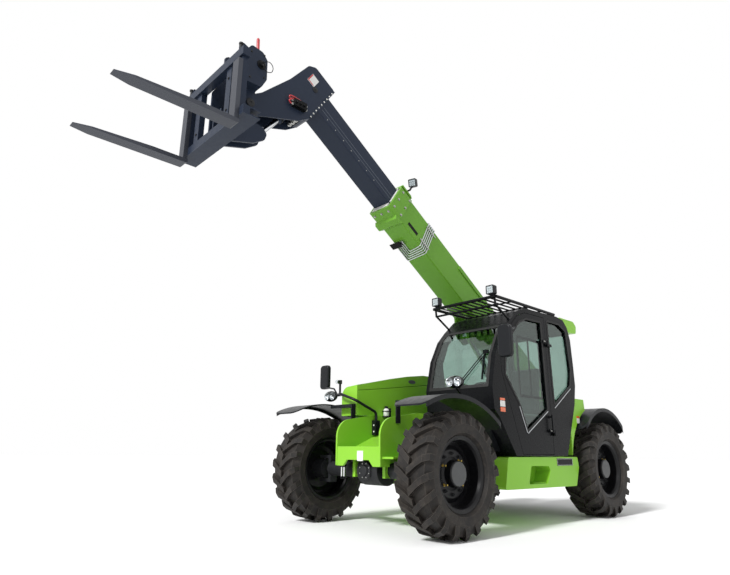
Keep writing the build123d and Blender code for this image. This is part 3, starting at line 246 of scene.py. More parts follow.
paintLooks = {
    "bodyGreen": {"slot": "body_green", "colour": (0.232, 0.53, 0.035), "roughness": (0.28, 0.42),
                  "coat": 0.12, "gloss": 0.2, "deep": 0.95, "dust": 0.05, "worn": (0.32, 0.62, 0.12)},
    "boomGreen": {"slot": "boom_green", "colour": (0.135, 0.34, 0.03), "roughness": (0.32, 0.46),
                  "coat": 0.06, "gloss": 0.2, "deep": 0.92, "dust": 0.05, "worn": (0.24, 0.48, 0.1)},
    "slatePaint": {"slot": "slate_paint", "colour": (0.018, 0.026, 0.046), "roughness": (0.32, 0.46),
                   "gloss": 0.16, "deep": 0.85, "worn": (0.09, 0.11, 0.15), "dust": 0.03,
                   "dustColour": (0.1, 0.12, 0.15), "dustScale": 14},
    # lighter slate, used only for the painted highlight strips along the inner boom's sides
    "paintedHighlightSlate": {"slot": "slate_paint", "colour": (0.085, 0.1, 0.125), "roughness": (0.4, 0.5),
                  "dust": 0.05, "gloss": 0.2},
    "satinBlack": {"slot": "black_paint", "colour": (0.0045, 0.005, 0.006), "roughness": (0.24, 0.36),
                   "gloss": 0.1, "deep": 0.8, "worn": (0.035, 0.037, 0.042), "dust": 0.03,
                   "dustColour": (0.05, 0.05, 0.05)},
    "blackPlastic": {"slot": "black_plastic", "colour": (0.008, 0.009, 0.011), "roughness": (0.3, 0.46),
                     "gloss": 0.2, "deep": 0.8, "worn": (0.03, 0.03, 0.034), "dust": 0.05,
                     "dustColour": (0.07, 0.068, 0.064), "peelScale": 900, "peel": 0.14},
    "castIron": {"slot": "cast_iron", "colour": (0.014, 0.015, 0.017), "roughness": (0.5, 0.72),
                 "deep": 0.7, "gloss": 0.3, "dust": 0.14, "dustColour": (0.08, 0.07, 0.055),
                 "peelScale": 150, "peel": 0.35},
    "rimBlack": {"slot": "black_paint", "colour": (0.004, 0.004, 0.005), "roughness": (0.28, 0.45),
                 "gloss": 0.25, "dust": 0.08, "dustColour": (0.04, 0.036, 0.03)},
    "hubGrey": {"slot": "cast_iron", "colour": (0.085, 0.088, 0.09), "roughness": (0.4, 0.6),
                "dust": 0.1, "deep": 0.85, "gloss": 0.3},
    "brass": {"slot": "steel", "colour": (0.42, 0.3, 0.07), "roughness": (0.3, 0.5), "dust": 0.2,
              "metallic": 0.8},
    "lampFace": {"slot": "lamp_lens", "colour": (0.56, 0.57, 0.58), "roughness": (0.2, 0.4),
                 "dust": 0.1, "peelScale": 120, "peel": 0.5},
    "engineGrey": {"slot": "engine_alloy", "colour": (0.09, 0.09, 0.09), "roughness": (0.45, 0.7),
                   "dust": 0.2, "peelScale": 130, "peel": 0.4},
    "redPaint": {"slot": "tail_red", "colour": (0.45, 0.012, 0.02), "roughness": (0.3, 0.45), "coat": 0.3},
    "orangeLens": {"slot": "tail_red", "colour": (0.75, 0.12, 0.02), "roughness": (0.15, 0.3),
                   "coat": 0.7, "dust": 0.05, "peelScale": 260, "peel": 0.5},
    "tailRed": {"slot": "tail_red", "colour": (0.42, 0.01, 0.012), "roughness": (0.12, 0.24),
                "coat": 0.8, "dust": 0.05, "peelScale": 220, "peel": 0.5},
    "whitePad": {"slot": "pad_white", "colour": (0.72, 0.72, 0.69), "roughness": (0.4, 0.6), "dust": 0.25},
    "whitePlate": {"slot": "pad_white", "colour": (0.74, 0.74, 0.72), "roughness": (0.3, 0.5), "dust": 0.2},
}
rubberLooks = {
    "tyreRubber": {"slot": "tyre_rubber", "colour": (0.0095, 0.0085, 0.008), "soil": (0.026, 0.021, 0.017),
                   "dirt": (0.045, 0.037, 0.03), "edge": (0.07, 0.06, 0.05)},
    "sealRubber": {"slot": "tyre_rubber", "colour": (0.012, 0.012, 0.012), "soil": (0.02, 0.02, 0.02),
                   "dirt": (0.03, 0.03, 0.03), "edge": (0.03, 0.03, 0.03)},
}
metalLooks = {
    "forkSteel": {"slot": "steel", "colour": (0.066, 0.072, 0.09), "roughness": (0.34, 0.55),
                  "metallic": 0.55, "deep": 0.6},
    "pipeSteel": {"slot": "steel", "colour": (0.62, 0.64, 0.66), "roughness": (0.22, 0.4)},
    "chromeRod": {"slot": "chrome_rod", "colour": (0.78, 0.79, 0.8), "roughness": (0.06, 0.16),
                  "bump": 0.02, "deep": 0.9},
    "zincBolt": {"slot": "steel", "colour": (0.5, 0.5, 0.48), "roughness": (0.3, 0.5), "grain": (40, 40, 40)},
    "mirrorGlass": {"slot": "chrome_rod", "colour": (0.72, 0.76, 0.78), "roughness": (0.02, 0.06),
                    "bump": 0.0, "deep": 0.95},
}
glassLooks = {
    "windowGlass": {"slot": "glass", "colour": (0.62, 0.72, 0.68), "smear": (0.7, 0.78, 0.75)},
    "lensGlass": {"slot": "lamp_lens", "colour": (0.9, 0.92, 0.93), "smear": (0.82, 0.85, 0.87)},
}
clothLooks = {"seatCloth": {"slot": "seat_cover", "colour": (0.012, 0.012, 0.014),
                            "thread": (0.035, 0.035, 0.04)}}

finishes, slotOfFinish = {}, {}
for maker, looks in ((paint, paintLooks), (rubber, rubberLooks), (bareMetal, metalLooks),
                     (clearGlass, glassLooks), (cloth, clothLooks)):
    for name, look in looks.items():
        finishes[name] = maker(name, look)
        slotOfFinish[name] = look["slot"]
print("materials made:", len(finishes))

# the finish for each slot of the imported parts, and the few parts that take another one
nodeFinish = {
    "black_paint": "satinBlack", "black_plastic": "blackPlastic", "body_green": "bodyGreen",
    "boom_green": "boomGreen", "cast_iron": "castIron", "chrome_rod": "chromeRod", "cover_green": "bodyGreen",
    "engine_alloy": "engineGrey", "glass": "windowGlass", "lamp_lens": "blackPlastic",
    "pad_white": "whitePad",
    "seat_cover": "seatCloth", "slate_paint": "slatePaint", "steel": "forkSteel", "tail_red": "tailRed",
    "tyre_rubber": "tyreRubber",
}
specialFinish = {
    "boom_pipes": "pipeSteel", "rim_front_left": "rimBlack", "rim_front_right": "rimBlack",
    "rim_rear_left": "rimBlack", "rim_rear_right": "rimBlack", "front_steering_rod": "castIron",
    "rear_steering_rod": "castIron",
}
for part in frame["record"]["subparts"]:
    chosen = finishes[specialFinish.get(part["node"], nodeFinish[part["material_slot"]])]
    for place in nodes[part["node"]].material_slots:
        place.material = chosen

creaseAngle = math.radians(35)  # sharper corners than this stay crisp
bevelAngle = math.radians(28)  # and sharper ones than this are rounded


# puts a mesh or a curve in the scene, on the body that it moves with
def setOn(body, name, data, finish):
    made = bpy.data.objects.new(name, data)
    bpy.context.collection.objects.link(made)
    data.materials.append(finishes[finish])
    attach(made, body)
    return made


def settle(name, shape, finish, body, bevel=0.0):
    if bevel:
        edges = [e for e in shape.edges if len(e.link_faces) == 2 and e.calc_face_angle(0) > bevelAngle]
        bmesh.ops.bevel(shape, geom=edges, offset=bevel, segments=2, profile=0.6, affect="EDGES",
                        clamp_overlap=True)
    bmesh.ops.recalc_face_normals(shape, faces=shape.faces[:])
    mesh = bpy.data.meshes.new(name)
    shape.to_mesh(mesh)
    shape.free()
    for face in mesh.polygons:
        face.use_smooth = True
    mesh.set_sharp_from_angle(angle=creaseAngle)
    return setOn(body, name, mesh, finish)


# an outline of corners pulled out along a vector
def prism(shape, corners, way):
    low = [shape.verts.new(c) for c in corners]
    high = [shape.verts.new(c + way) for c in corners]
    shape.faces.new(low)
    shape.faces.new(list(reversed(high)))
    count = len(corners)
    for i in range(count):
        j = (i + 1) % count
        shape.faces.new((low[j], low[i], high[i], high[j]))


# a box about its middle, with its full spans along three ways
def slab(shape, middle, spans, ways=(xWay, yWay, zWay)):
    a, b, c = (way.normalized() * span / 2 for way, span in zip(ways, spans))
    prism(shape, [middle - a - b - c, middle + a - b - c, middle + a + b - c, middle - a + b - c], c * 2)


# a flat bar from one point to another
def barBetween(shape, start, end, deep, high, shift=Vector((0, 0, 0)), longer=0.0):
    run = end - start
    slab(shape, (start + end) / 2 + shift, (run.length + longer, deep, high), (run, yWay, run.cross(yWay)))


# a turned solid: (radius, height) pairs about an axis that rises from foot
def lathe(shape, profile, foot, way, turns=24):
    way = way.normalized()
    side = way.orthogonal().normalized()
    other = way.cross(side)
    rings = []
    for radius, height in profile:
        if radius < 1e-6:
            rings.append([shape.verts.new(foot + way * height)])
            continue
        rings.append([
            shape.verts.new(foot + way * height + (side * math.cos(t) + other * math.sin(t)) * radius)
            for t in (math.tau * i / turns for i in range(turns))
        ])
    skinRings(shape, rings, turns)


# faces between one ring and the next, where a ring of one corner is a point
def skinRings(shape, rings, turns):
    for low, high in zip(rings, rings[1:]):
        for i in range(turns):
            j = (i + 1) % turns
            if len(low) == 1 and len(high) == 1:
                continue
            if len(low) == 1:
                shape.faces.new((low[0], high[j], high[i]))
            elif len(high) == 1:
                shape.faces.new((low[i], low[j], high[0]))
            else:
                shape.faces.new((low[i], low[j], high[j], high[i]))


def slabPiece(name, middle, spans, finish, body, bevel=0.0, ways=(xWay, yWay, zWay)):
    shape = bmesh.new()
    slab(shape, middle, spans, ways)
    return settle(name, shape, finish, body, bevel)


def turnedPiece(name, profile, foot, way, turns, finish, body):
    shape = bmesh.new()
    lathe(shape, profile, foot, way, turns)
    return settle(name, shape, finish, body)


# a hexagon head on a washer, foot on the surface that it holds
def boltHead(shape, foot, way, radius, height):
    washer = [(0, 0), (radius * 1.35, 0), (radius * 1.35, height * 0.2), (radius * 1.05, height * 0.22)]
    lathe(shape, washer, foot, way, 18)
    lathe(shape, [(radius, height * 0.2), (radius, height * 0.85), (radius * 0.82, height), (0, height)],
          foot, way, 6)


# caps on both ends of a cross pin, with a bolt in each where boltLift says how high
def pinEnds(name, middle, half, profile, finish, body, turns=24, boltLift=None):
    shape = bmesh.new()
    for way in (yWay, -yWay):
        lathe(shape, profile, middle + way * half, way, turns)
        if boltLift is not None:
            boltHead(shape, middle + way * (half + boltLift), way, 0.009, 0.008)
    settle(name, shape, finish, body)


# round bar or hose on one smooth line through its route
def pipe(name, points, radius, finish, body):
    data = bpy.data.curves.new(name, "CURVE")
    data.dimensions = "3D"
    data.bevel_depth = radius
    data.bevel_resolution = 3
    data.use_fill_caps = True
    data.resolution_u = 10
    line = data.splines.new("NURBS")
    line.points.add(len(points) - 1)
    for point, place in zip(line.points, points):
        point.co = (*place, 1)
    line.order_u = 3
    line.use_endpoint_u = True
    return setOn(body, name, data, finish)


# outline of a rounded rectangle about (0, 0)
def roundedRing(width, height, corner, steps=5):
    found = []
    x, y = width / 2 - corner, height / 2 - corner
    for cx, cy, start in ((x, y, 0), (-x, y, 90), (-x, -y, 180), (x, -y, 270)):
        for i in range(steps + 1):
            angle = math.radians(start + 90 * i / steps)
            found.append((cx + corner * math.cos(angle), cy + corner * math.sin(angle)))
    return found


# faces of a closed strip whose cross-section is given row by row
def closeRows(shape, rows):
    for i, row in enumerate(rows):
        after = rows[(i + 1) % len(rows)]
        for k in range(len(row)):
            m = (k + 1) % len(row)
            shape.faces.new((row[k], after[k], after[m], row[m]))


# a raised strip along a closed loop; across gives the way into the loop at each point
def band(shape, loop, across, out, width, height):
    rows = []
    for p, inward in zip(loop, across):
        rows.append([shape.verts.new(p), shape.verts.new(p + out * height),
                     shape.verts.new(p + inward * width + out * height), shape.verts.new(p + inward * width)])
    closeRows(shape, rows)


# way into a closed loop at each of its points, scaled so that an offset keeps its width
def insetWays(loop, normal):
    found = []
    count = len(loop)
    area = Vector((0, 0, 0))
    for i in range(count):
        area += loop[i - 1].cross(loop[i])
    turn = 1 if area.dot(normal) > 0 else -1
    for i in range(count):
        a = (loop[i] - loop[i - 1]).normalized()
        b = (loop[(i + 1) % count] - loop[i]).normalized()
        first, second = normal.cross(a) * turn, normal.cross(b) * turn
        both = (first + second).normalized()
        found.append(both / max(0.45, both.dot(first)))
    return found


def ringBand(shape, ring, out, width, height):
    band(shape, ring, insetWays(ring, out), out, width, height)


# a 2-D outline with its corners rounded
def softened(points, radius, steps=4):
    found = []
    count = len(points)
    for i in range(count):
        p = Vector(points[i])
        a, b = Vector(points[i - 1]) - p, Vector(points[(i + 1) % count]) - p
        half = a.angle(b) / 2
        reach = min(radius / max(math.tan(half), 0.05), a.length * 0.45, b.length * 0.45)
        first, last = p + a.normalized() * reach, p + b.normalized() * reach
        for k in range(steps + 1):
            t = k / steps
            found.append(first * (1 - t) ** 2 + p * 2 * t * (1 - t) + last * t ** 2)
    return found


wheelLook = {"boltCircle": 0.182, "bolts": 10, "boltSize": 0.014, "discFace": 0.041, "capFace": 0.1195,
             "capRadius": 0.109, "fittings": (0.5, 2.3, 3.9, 5.6), "fittingCircle": 0.15,
             "fittingSize": 0.011,
             "valveAngle": 0.6, "valveCircle": 0.262, "valveFace": 0.02}


# step from a wheel's axis at an angle
def aroundAxis(angle, radius):
    return Vector((math.cos(angle), 0, math.sin(angle))) * radius


for corner in ("front_left", "front_right", "rear_left", "rear_right"):
    low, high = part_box("tyre_" + corner)
    middle = (low + high) / 2
    out = yWay if middle.y > 0 else -yWay
    body = "wheel_" + corner
    face = middle + out * wheelLook["discFace"]
    nuts = bmesh.new()
    for i in range(wheelLook["bolts"]):
        spot = face + aroundAxis(math.tau * (i + 0.5) / wheelLook["bolts"], wheelLook["boltCircle"])
        boltHead(nuts, spot, out, wheelLook["boltSize"], 0.02)
        lathe(nuts, [(0.006, 0.018), (0.006, 0.034), (0, 0.035)], spot, out, 10)
    settle("wheelNuts_" + corner, nuts, "castIron", body)
    r = wheelLook["capRadius"]
    turnedPiece("hubCap_" + corner,
                [(0, 0), (r, 0), (r, 0.004), (r * 0.96, 0.008), (r * 0.5, 0.0095), (0, 0.01)],
                middle + out * wheelLook["capFace"], out, 40, "hubGrey", body)
    elbows = bmesh.new()
    for angle in wheelLook["fittings"]:
        spot = face + aroundAxis(angle, wheelLook["fittingCircle"])
        boltHead(elbows, spot, out, wheelLook["fittingSize"], 0.014)
        lathe(elbows, [(0.006, 0.012), (0.006, 0.03), (0.009, 0.032), (0.009, 0.04), (0, 0.042)],
              spot, out, 12)
    settle("hubFittings_" + corner, elbows, "brass", body)
    spot = middle + out * wheelLook["valveFace"]
    spot += aroundAxis(wheelLook["valveAngle"], wheelLook["valveCircle"])
    turnedPiece("tyreValve_" + corner,
                [(0, 0), (0.006, 0), (0.006, 0.03), (0.008, 0.031), (0.008, 0.045), (0, 0.047)],
                spot, out, 10, "sealRubber", body)
print("wheels dressed")

cabSides = {"doorFace": 1.05, "rightFace": 0.15, "sealWidth": 0.022, "sealProud": 0.005, "overlap": 0.004,
            "corner": 0.03,
            "doorGlass": [(0.124, 2.255), (-0.206, 2.266), (-0.218, 1.23), (0.252, 0.974), (0.386, 1.274),
                          (0.622, 1.56), (0.6, 1.751), (0.48, 2.0), (0.29, 2.19)],
            "quarterGlass": [(-0.342, 2.307), (-0.64, 2.309), (-0.8, 2.24), (-0.85, 1.738), (-0.793, 1.544),
                             (-0.365, 1.285)],
            "rightGlass": [(0.56, 1.42), (0.6, 1.751), (0.48, 2.0), (0.29, 2.19), (0.124, 2.255),
                           (-0.6, 2.29), (-0.8, 2.22), (-0.85, 1.738), (-0.83, 1.42)]}


def sideSeal(name, outline, y, out, body):
    loop = [at(x, y, z) for x, z in softened(outline, cabSides["corner"])]
    ways = insetWays(loop, out)
    loop = [p - w * cabSides["overlap"] for p, w in zip(loop, ways)]
    seal = bmesh.new()
    band(seal, loop, ways, out, cabSides["sealWidth"], cabSides["sealProud"])
    settle(name, seal, "sealRubber", body)


sideSeal("doorSeal", cabSides["doorGlass"], cabSides["doorFace"], yWay, "door")
sideSeal("quarterSeal", cabSides["quarterGlass"], cabSides["doorFace"], yWay, "chassis")
sideSeal("rightSeal", cabSides["rightGlass"], cabSides["rightFace"], -yWay, "chassis")

# bright strips along the lower edges of the door's and the quarter's glass
trimLook = {"y": 1.053, "deep": 0.005, "high": 0.009,
            "door": (((-0.205, 1.215), (0.248, 0.962)), ((0.262, 0.968), (0.384, 1.24))),
            "quarter": (((-0.37, 1.262), (-0.79, 1.518)),)}
for name, runs, body in (("doorTrim", "door", "door"), ("quarterTrim", "quarter", "chassis")):
    trim = bmesh.new()
    for (x0, z0), (x1, z1) in trimLook[runs]:
        start, end = at(x0, trimLook["y"], z0), at(x1, trimLook["y"], z1)
        barBetween(trim, start, end, trimLook["deep"], trimLook["high"])
    settle(name, trim, "pipeSteel", body, 0.001)

# the sliding pane's frame inside the door, with its bars' widths
sliderLook = {"bars": ((-0.178, 1.2), (0.07, 0.5), (0.3, 0.8)), "z": (1.36, 2.02), "bar": 0.032, "y": 1.018,
              "deep": 0.014}
slider = bmesh.new()
bottom, top = sliderLook["z"]
rear, ahead = sliderLook["bars"][0][0], sliderLook["bars"][-1][0]
for x, wide in sliderLook["bars"]:
    slab(slider, at(x, sliderLook["y"], (bottom + top) / 2),
         (sliderLook["bar"] * wide, sliderLook["deep"], top - bottom))
for z in (bottom, top):
    slab(slider, at((rear + ahead) / 2, sliderLook["y"], z),
         (ahead - rear, sliderLook["deep"], sliderLook["bar"]))
settle("doorSlider", slider, "satinBlack", "door", 0.002)

handleLook = {"x": -0.235, "z": 1.08, "reach": 0.045, "length": 0.15, "lockZ": 1.0}
handle = bmesh.new()
reach = handleLook["reach"]
for end in (-1, 1):
    lathe(handle, [(0.02, 0), (0.02, 0.004), (0.011, 0.007), (0.01, reach - 0.01), (0, reach - 0.008)],
          at(handleLook["x"], cabSides["doorFace"], handleLook["z"] + end * handleLook["length"] / 2),
          yWay, 14)
slab(handle, at(handleLook["x"], cabSides["doorFace"] + reach - 0.008, handleLook["z"]),
     (0.022, 0.014, handleLook["length"] + 0.05))
settle("doorHandle", handle, "satinBlack", "door", 0.003)
turnedPiece("doorLock", [(0, 0), (0.018, 0), (0.018, 0.006), (0.013, 0.009), (0.006, 0.009), (0.005, 0.004),
                         (0, 0.004)],
            at(handleLook["x"], cabSides["doorFace"], handleLook["lockZ"]), yWay, 20, "zincBolt", "door")

hingeLook = {"x": (-0.22, -0.2), "z": (0.998, 2.028), "face": 1.0785}
hingeBolts = bmesh.new()
for z in hingeLook["z"]:
    for x in hingeLook["x"]:
        boltHead(hingeBolts, at(x, hingeLook["face"], z), yWay, 0.006, 0.006)
settle("hingeBolts", hingeBolts, "zincBolt", "door")

# blank plate and two reflectors on the front pillar: height, how tall, finish
pillarLook = {"x": 0.7, "y": 1.0515, "wide": 0.085, "thick": 0.004}
for name, z, tall, finish in (("pillarPlate", 1.25, 0.06, "whitePlate"),
                              ("pillarReflectorTop", 1.296, 0.024, "orangeLens"),
                              ("pillarReflectorLow", 1.19, 0.045, "orangeLens")):
    slabPiece(name, at(pillarLook["x"], pillarLook["y"], z), (pillarLook["wide"], pillarLook["thick"], tall),
              finish, "chassis", 0.001)

windshieldLook = {"bends": [(1.19, 0.85), (1.42, 0.865), (1.76, 0.78), (2.01, 0.64), (2.15, 0.5)],
                  "y": (0.212, 0.45, 0.75, 0.988), "z": (1.43, 1.6, 1.76, 1.88, 2.01, 2.12),
                  "inward": 0.02, "outward": 0.012, "proud": (0.001, 0.006)}


# place on the bent windshield at a height
def frontOfCab(y, z, proud):
    bends = windshieldLook["bends"]
    for (z0, x0), (z1, x1) in zip(bends, bends[1:]):
        if z <= z1:
            return at(x0 + (x1 - x0) * (z - z0) / (z1 - z0) + proud, y, z)
    return at(bends[-1][1] + proud, y, z)


right, midRight, midLeft, left = windshieldLook["y"]
bottom, top = windshieldLook["z"][0], windshieldLook["z"][-1]
glassEdge = [(right, z) for z in windshieldLook["z"]] + [(midRight, top), (midLeft, top)]
glassEdge += [(left, z) for z in reversed(windshieldLook["z"])] + [(midLeft, bottom), (midRight, bottom)]
seal = bmesh.new()
rows = []
for y, z in glassEdge:
    sideStep = {right: 1, left: -1}.get(y, 0)
    heightStep = {bottom: 1, top: -1}.get(z, 0)
    outer, inner = ((y + sideStep * step, z + heightStep * step)
                    for step in (-windshieldLook["outward"], windshieldLook["inward"]))
    low, high = windshieldLook["proud"]
    rows.append([seal.verts.new(frontOfCab(*spot, proud))
                 for spot, proud in ((outer, low), (outer, high), (inner, high), (inner, low))])
closeRows(seal, rows)
settle("windshieldSeal", seal, "sealRubber", "chassis")

wiperLook = {"foot": (0.62, 1.45), "tip": (0.93, 1.8), "bladeY": 0.918, "bladeFrom": 1.5, "bladeStep": 0.08}
foot = frontOfCab(*wiperLook["foot"], 0.026)
tip = frontOfCab(*wiperLook["tip"], 0.024)
wiper = bmesh.new()
lathe(wiper, [(0.024, -0.022), (0.024, 0.008), (0.014, 0.014), (0, 0.015)], foot, xWay, 16)
for side in (-0.018, 0.018):
    barBetween(wiper, foot, tip, 0.008, 0.008, yWay * side)
blade = [frontOfCab(wiperLook["bladeY"], wiperLook["bladeFrom"] + wiperLook["bladeStep"] * k, 0.012)
         for k in range(5)]
for a, b in zip(blade, blade[1:]):
    barBetween(wiper, a, b, 0.014, 0.016, longer=0.004)
    barBetween(wiper, a, b, 0.006, 0.014, xWay * 0.008)
slab(wiper, tip - xWay * 0.002, (0.024, 0.06, 0.04))
settle("wiper", wiper, "satinBlack", "chassis", 0.0015)
print("cab trimmed")


# bezel, bright reflector cells and clear lens over a housing's face
def squareLamp(name, face, out, up, size, body):
    side = up.cross(out).normalized()
    ways = (side, up, out)
    rim = bmesh.new()
    ringBand(rim, [face + side * x + up * y for x, y in roundedRing(size, size, size * 0.12)], out,
             size * 0.09, 0.006)
    settle(name + "Bezel", rim, "blackPlastic", body)
    cells = bmesh.new()
    pitch, r = size * 0.26, size * 0.125
    for i in (-1, 0, 1):
        for k in (-1, 0, 1):
            lathe(cells, [(0, 0), (r, 0), (r, 0.003), (r * 0.8, 0.0012), (r * 0.3, 0.0006), (0, 0.0006)],
                  face + side * i * pitch + up * k * pitch + out * 0.0008, out, 16)
    settle(name + "Cells", cells, "whitePlate", body)
    slabPiece(name + "Back", face + out * 0.0003, (size * 0.84, size * 0.84, 0.0006), "lampFace", body,
              ways=ways)
    slabPiece(name + "Lens", face + out * 0.0044, (size * 0.83, size * 0.83, 0.0016), "lensGlass", body,
              ways=ways)
    fins = bmesh.new()
    for i in range(5):
        slab(fins, face - out * (0.012 + i * 0.009) + up * size * 0.501, (size * 0.8, 0.004, 0.003), ways)
    settle(name + "Fins", fins, "blackPlastic", body)


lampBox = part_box("roof_lamps")
for side, y in (("Right", 0.21), ("Left", 0.99)):
    squareLamp("roofLamp" + side, Vector((lampBox[1].x, y, lampBox[1].z - 0.05)), xWay, zWay, 0.1, "chassis")

# the work lamp on the boom and its stem: (along, across, up) middle and spans of each block
boomLampLook = {"middle": (3.68, 0.035, 0.422), "aim": (0.93, 0.3, -0.2), "size": 0.104,
                "stem": (((3.65, -0.017, 0.288), (0.03, 0.04, 0.016)),
                         ((3.65, 0.008, 0.302), (0.018, 0.07, 0.018)),
                         ((3.65, 0.034, 0.335), (0.018, 0.018, 0.09)))}
lampMiddle = alongBoom(*boomLampLook["middle"])
lampOut = Vector(boomLampLook["aim"]).normalized()
lampUp = (zWay - lampOut * lampOut.z).normalized()
size = boomLampLook["size"]
housing = bmesh.new()
prism(housing, [lampMiddle - lampOut * 0.055 + lampOut.cross(lampUp) * a + lampUp * b
                for a, b in roundedRing(size, size, 0.014)], lampOut * 0.05)
lampHousing = settle("boomLampHousing", housing, "blackPlastic", "boom", 0.002)
squareLamp("boomLamp", lampMiddle - lampOut * 0.005, lampOut, lampUp, size, "boom")
stem = bmesh.new()
for place, spans in boomLampLook["stem"]:
    slab(stem, alongBoom(*place), spans, boomWays)
lampStem = settle("boomLampStem", stem, "blackPlastic", "boom", 0.002)
for piece in (lampHousing, lampStem):
    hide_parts("boom_lamp")

headLook = {"half": (0.052, 0.112, 0.064), "joint": 0.46, "reflector": 0.044, "apart": 0.052,
            "rings": 14, "turns": 28}


# part of an oval form about X, between two shares of its length
def ovalShell(shape, middle, fromShare, toShare):
    a, b, c = headLook["half"]
    rings, turns = headLook["rings"], headLook["turns"]
    rows = []
    for i in range(rings + 1):
        t = math.pi * (fromShare + (toShare - fromShare) * i / rings)
        radius, x = math.sin(t), math.cos(t)
        if radius < 1e-4:
            rows.append([shape.verts.new(middle + xWay * a * x)])
        else:
            rows.append([
                shape.verts.new(middle + Vector((a * x, b * radius * math.cos(p), c * radius * math.sin(p))))
                for p in (math.tau * k / turns for k in range(turns))
            ])
    skinRings(shape, rows, turns)


# oval clear lamp with two bright bowls before a dark shell
def headLamp(name, middle, body):
    shell, lens, bowls = bmesh.new(), bmesh.new(), bmesh.new()
    ovalShell(shell, middle, headLook["joint"], 1.0)
    shellPiece = settle(name + "Shell", shell, "blackPlastic", body)
    ovalShell(lens, middle, 0.0, headLook["joint"])
    settle(name + "Lens", lens, "lensGlass", body)
    r = headLook["reflector"]
    for side in (-1, 1):
        lathe(bowls, [(0.006, -0.012), (r * 0.5, -0.008), (r * 0.85, 0.006), (r, 0.02), (r * 1.04, 0.02),
                      (r * 0.9, 0.004), (r * 0.5, -0.014), (0.006, -0.018)],
              middle + yWay * side * headLook["apart"] + xWay * 0.004, xWay, 24)
    settle(name + "Bowls", bowls, "chromeRod", body)
    return shellPiece


lampPieces = [headLamp("headLampLeft", at(1.32, 0.915, 1.43), "chassis"),
              headLamp("headLampRight", at(1.4, -0.908, 1.393), "chassis")]
lampArms = {"lampArmLeft": (0.012, ((0.855, 0.83, 1.25), (0.94, 0.83, 1.25), (1.04, 0.836, 1.262),
                                    (1.27, 0.895, 1.38))),
            "lampArmRight": (0.01, ((1.4, -0.815, 1.4), (1.4, -0.85, 1.4), (1.4, -0.88, 1.4)))}
for name, (radius, route) in lampArms.items():
    lampPieces.append(pipe(name, [at(*spot) for spot in route], radius, "satinBlack", "chassis"))
for piece in lampPieces:
    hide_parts("headlamps")

tailFace = bmesh.new()
low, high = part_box("tail_lamps")
for y in (-0.46, 0.46):
    middle = Vector((low.x, y, (low.z + high.z) / 2))
    ringBand(tailFace, [middle + yWay * a + zWay * b for a, b in roundedRing(0.108, 0.078, 0.01)],
             -xWay, 0.008, 0.004)
    for step in (-0.03, 0, 0.03):
        slab(tailFace, middle - xWay * 0.001 + yWay * step, (0.004, 0.003, 0.06))
settle("tailLampRims", tailFace, "blackPlastic", "chassis", 0.0008)
print("lamps dressed")


def mirrorFace(name, middle, width, height, body):
    face, rim = bmesh.new(), bmesh.new()
    ring = [middle + yWay * a + zWay * b for a, b in roundedRing(width, height, 0.04)]
    prism(face, ring, -xWay * 0.003)
    settle(name, face, "mirrorGlass", body)
    band(rim, [p + xWay * 0.001 for p in ring], insetWays(ring, -xWay), -xWay, 0.006, 0.007)
    settle(name + "Rim", rim, "sealRubber", body)


mirrorFace("mirrorGlassLeft", at(0.838, 1.23, 1.87), 0.14, 0.316, "chassis")
mirrorFace("mirrorGlassRight", at(1.27, -1.16, 1.655), 0.14, 0.28, "chassis")
deviceLook = {"face": 1.424, "spot": (-0.74, 1.552)}  # the small round unit on the right mirror's arm
turnedPiece("sideDeviceLens", [(0, 0), (0.022, 0), (0.024, 0.01), (0.024, 0.03), (0.018, 0.042), (0, 0.046)],
            at(deviceLook["face"], *deviceLook["spot"]), xWay, 20, "lensGlass", "chassis")
turnedPiece("sideDeviceFace", [(0, 0), (0.018, 0), (0.02, 0.003), (0.012, 0.004), (0, 0.004)],
            at(deviceLook["face"] + 0.0005, *deviceLook["spot"]), xWay, 20, "satinBlack", "chassis")
print("mirrors dressed")

boomLook = {"left": -0.005, "collarLeft": 0.013, "collarRight": -0.353, "top": 0.24, "bottom": -0.15,
            "collarProud": 0.018, "collarBolts": (3.56, 3.7), "boltSize": 0.013, "boltHeight": 0.012}
bolts = bmesh.new()
boltSpan = (boomLook["boltSize"], boomLook["boltHeight"])
for u in boomLook["collarBolts"]:
    for w in (-0.1, 0.045, 0.19):
        boltHead(bolts, alongBoom(u, boomLook["collarLeft"], w), yWay, *boltSpan)
        boltHead(bolts, alongBoom(u, boomLook["collarRight"], w), -yWay, *boltSpan)
    for y in (-0.29, -0.21):
        boltHead(bolts, alongBoom(u, y, boomLook["top"] + boomLook["collarProud"]), boomUp, *boltSpan)
    for y in (-0.29, -0.17, -0.05):
        boltHead(bolts, alongBoom(u, y, boomLook["bottom"] - boomLook["collarProud"]), -boomUp, *boltSpan)
settle("collarBolts", bolts, "zincBolt", "boom")

clampLook = {"u": 3.2225, "y": -0.29, "face": -0.196, "spans": (0.085, 0.17, 0.006)}
plate = bmesh.new()
slab(plate, alongBoom(clampLook["u"], clampLook["y"], clampLook["face"]), clampLook["spans"], boomWays)
for y in (-0.07, 0.07):
    for u in (-0.03, 0.03):
        boltHead(plate, alongBoom(clampLook["u"] + u, clampLook["y"] + y, clampLook["face"] - 0.003), -boomUp,
                 0.006, 0.005)
settle("pipeClampCover", plate, "satinBlack", "boom", 0.0015)

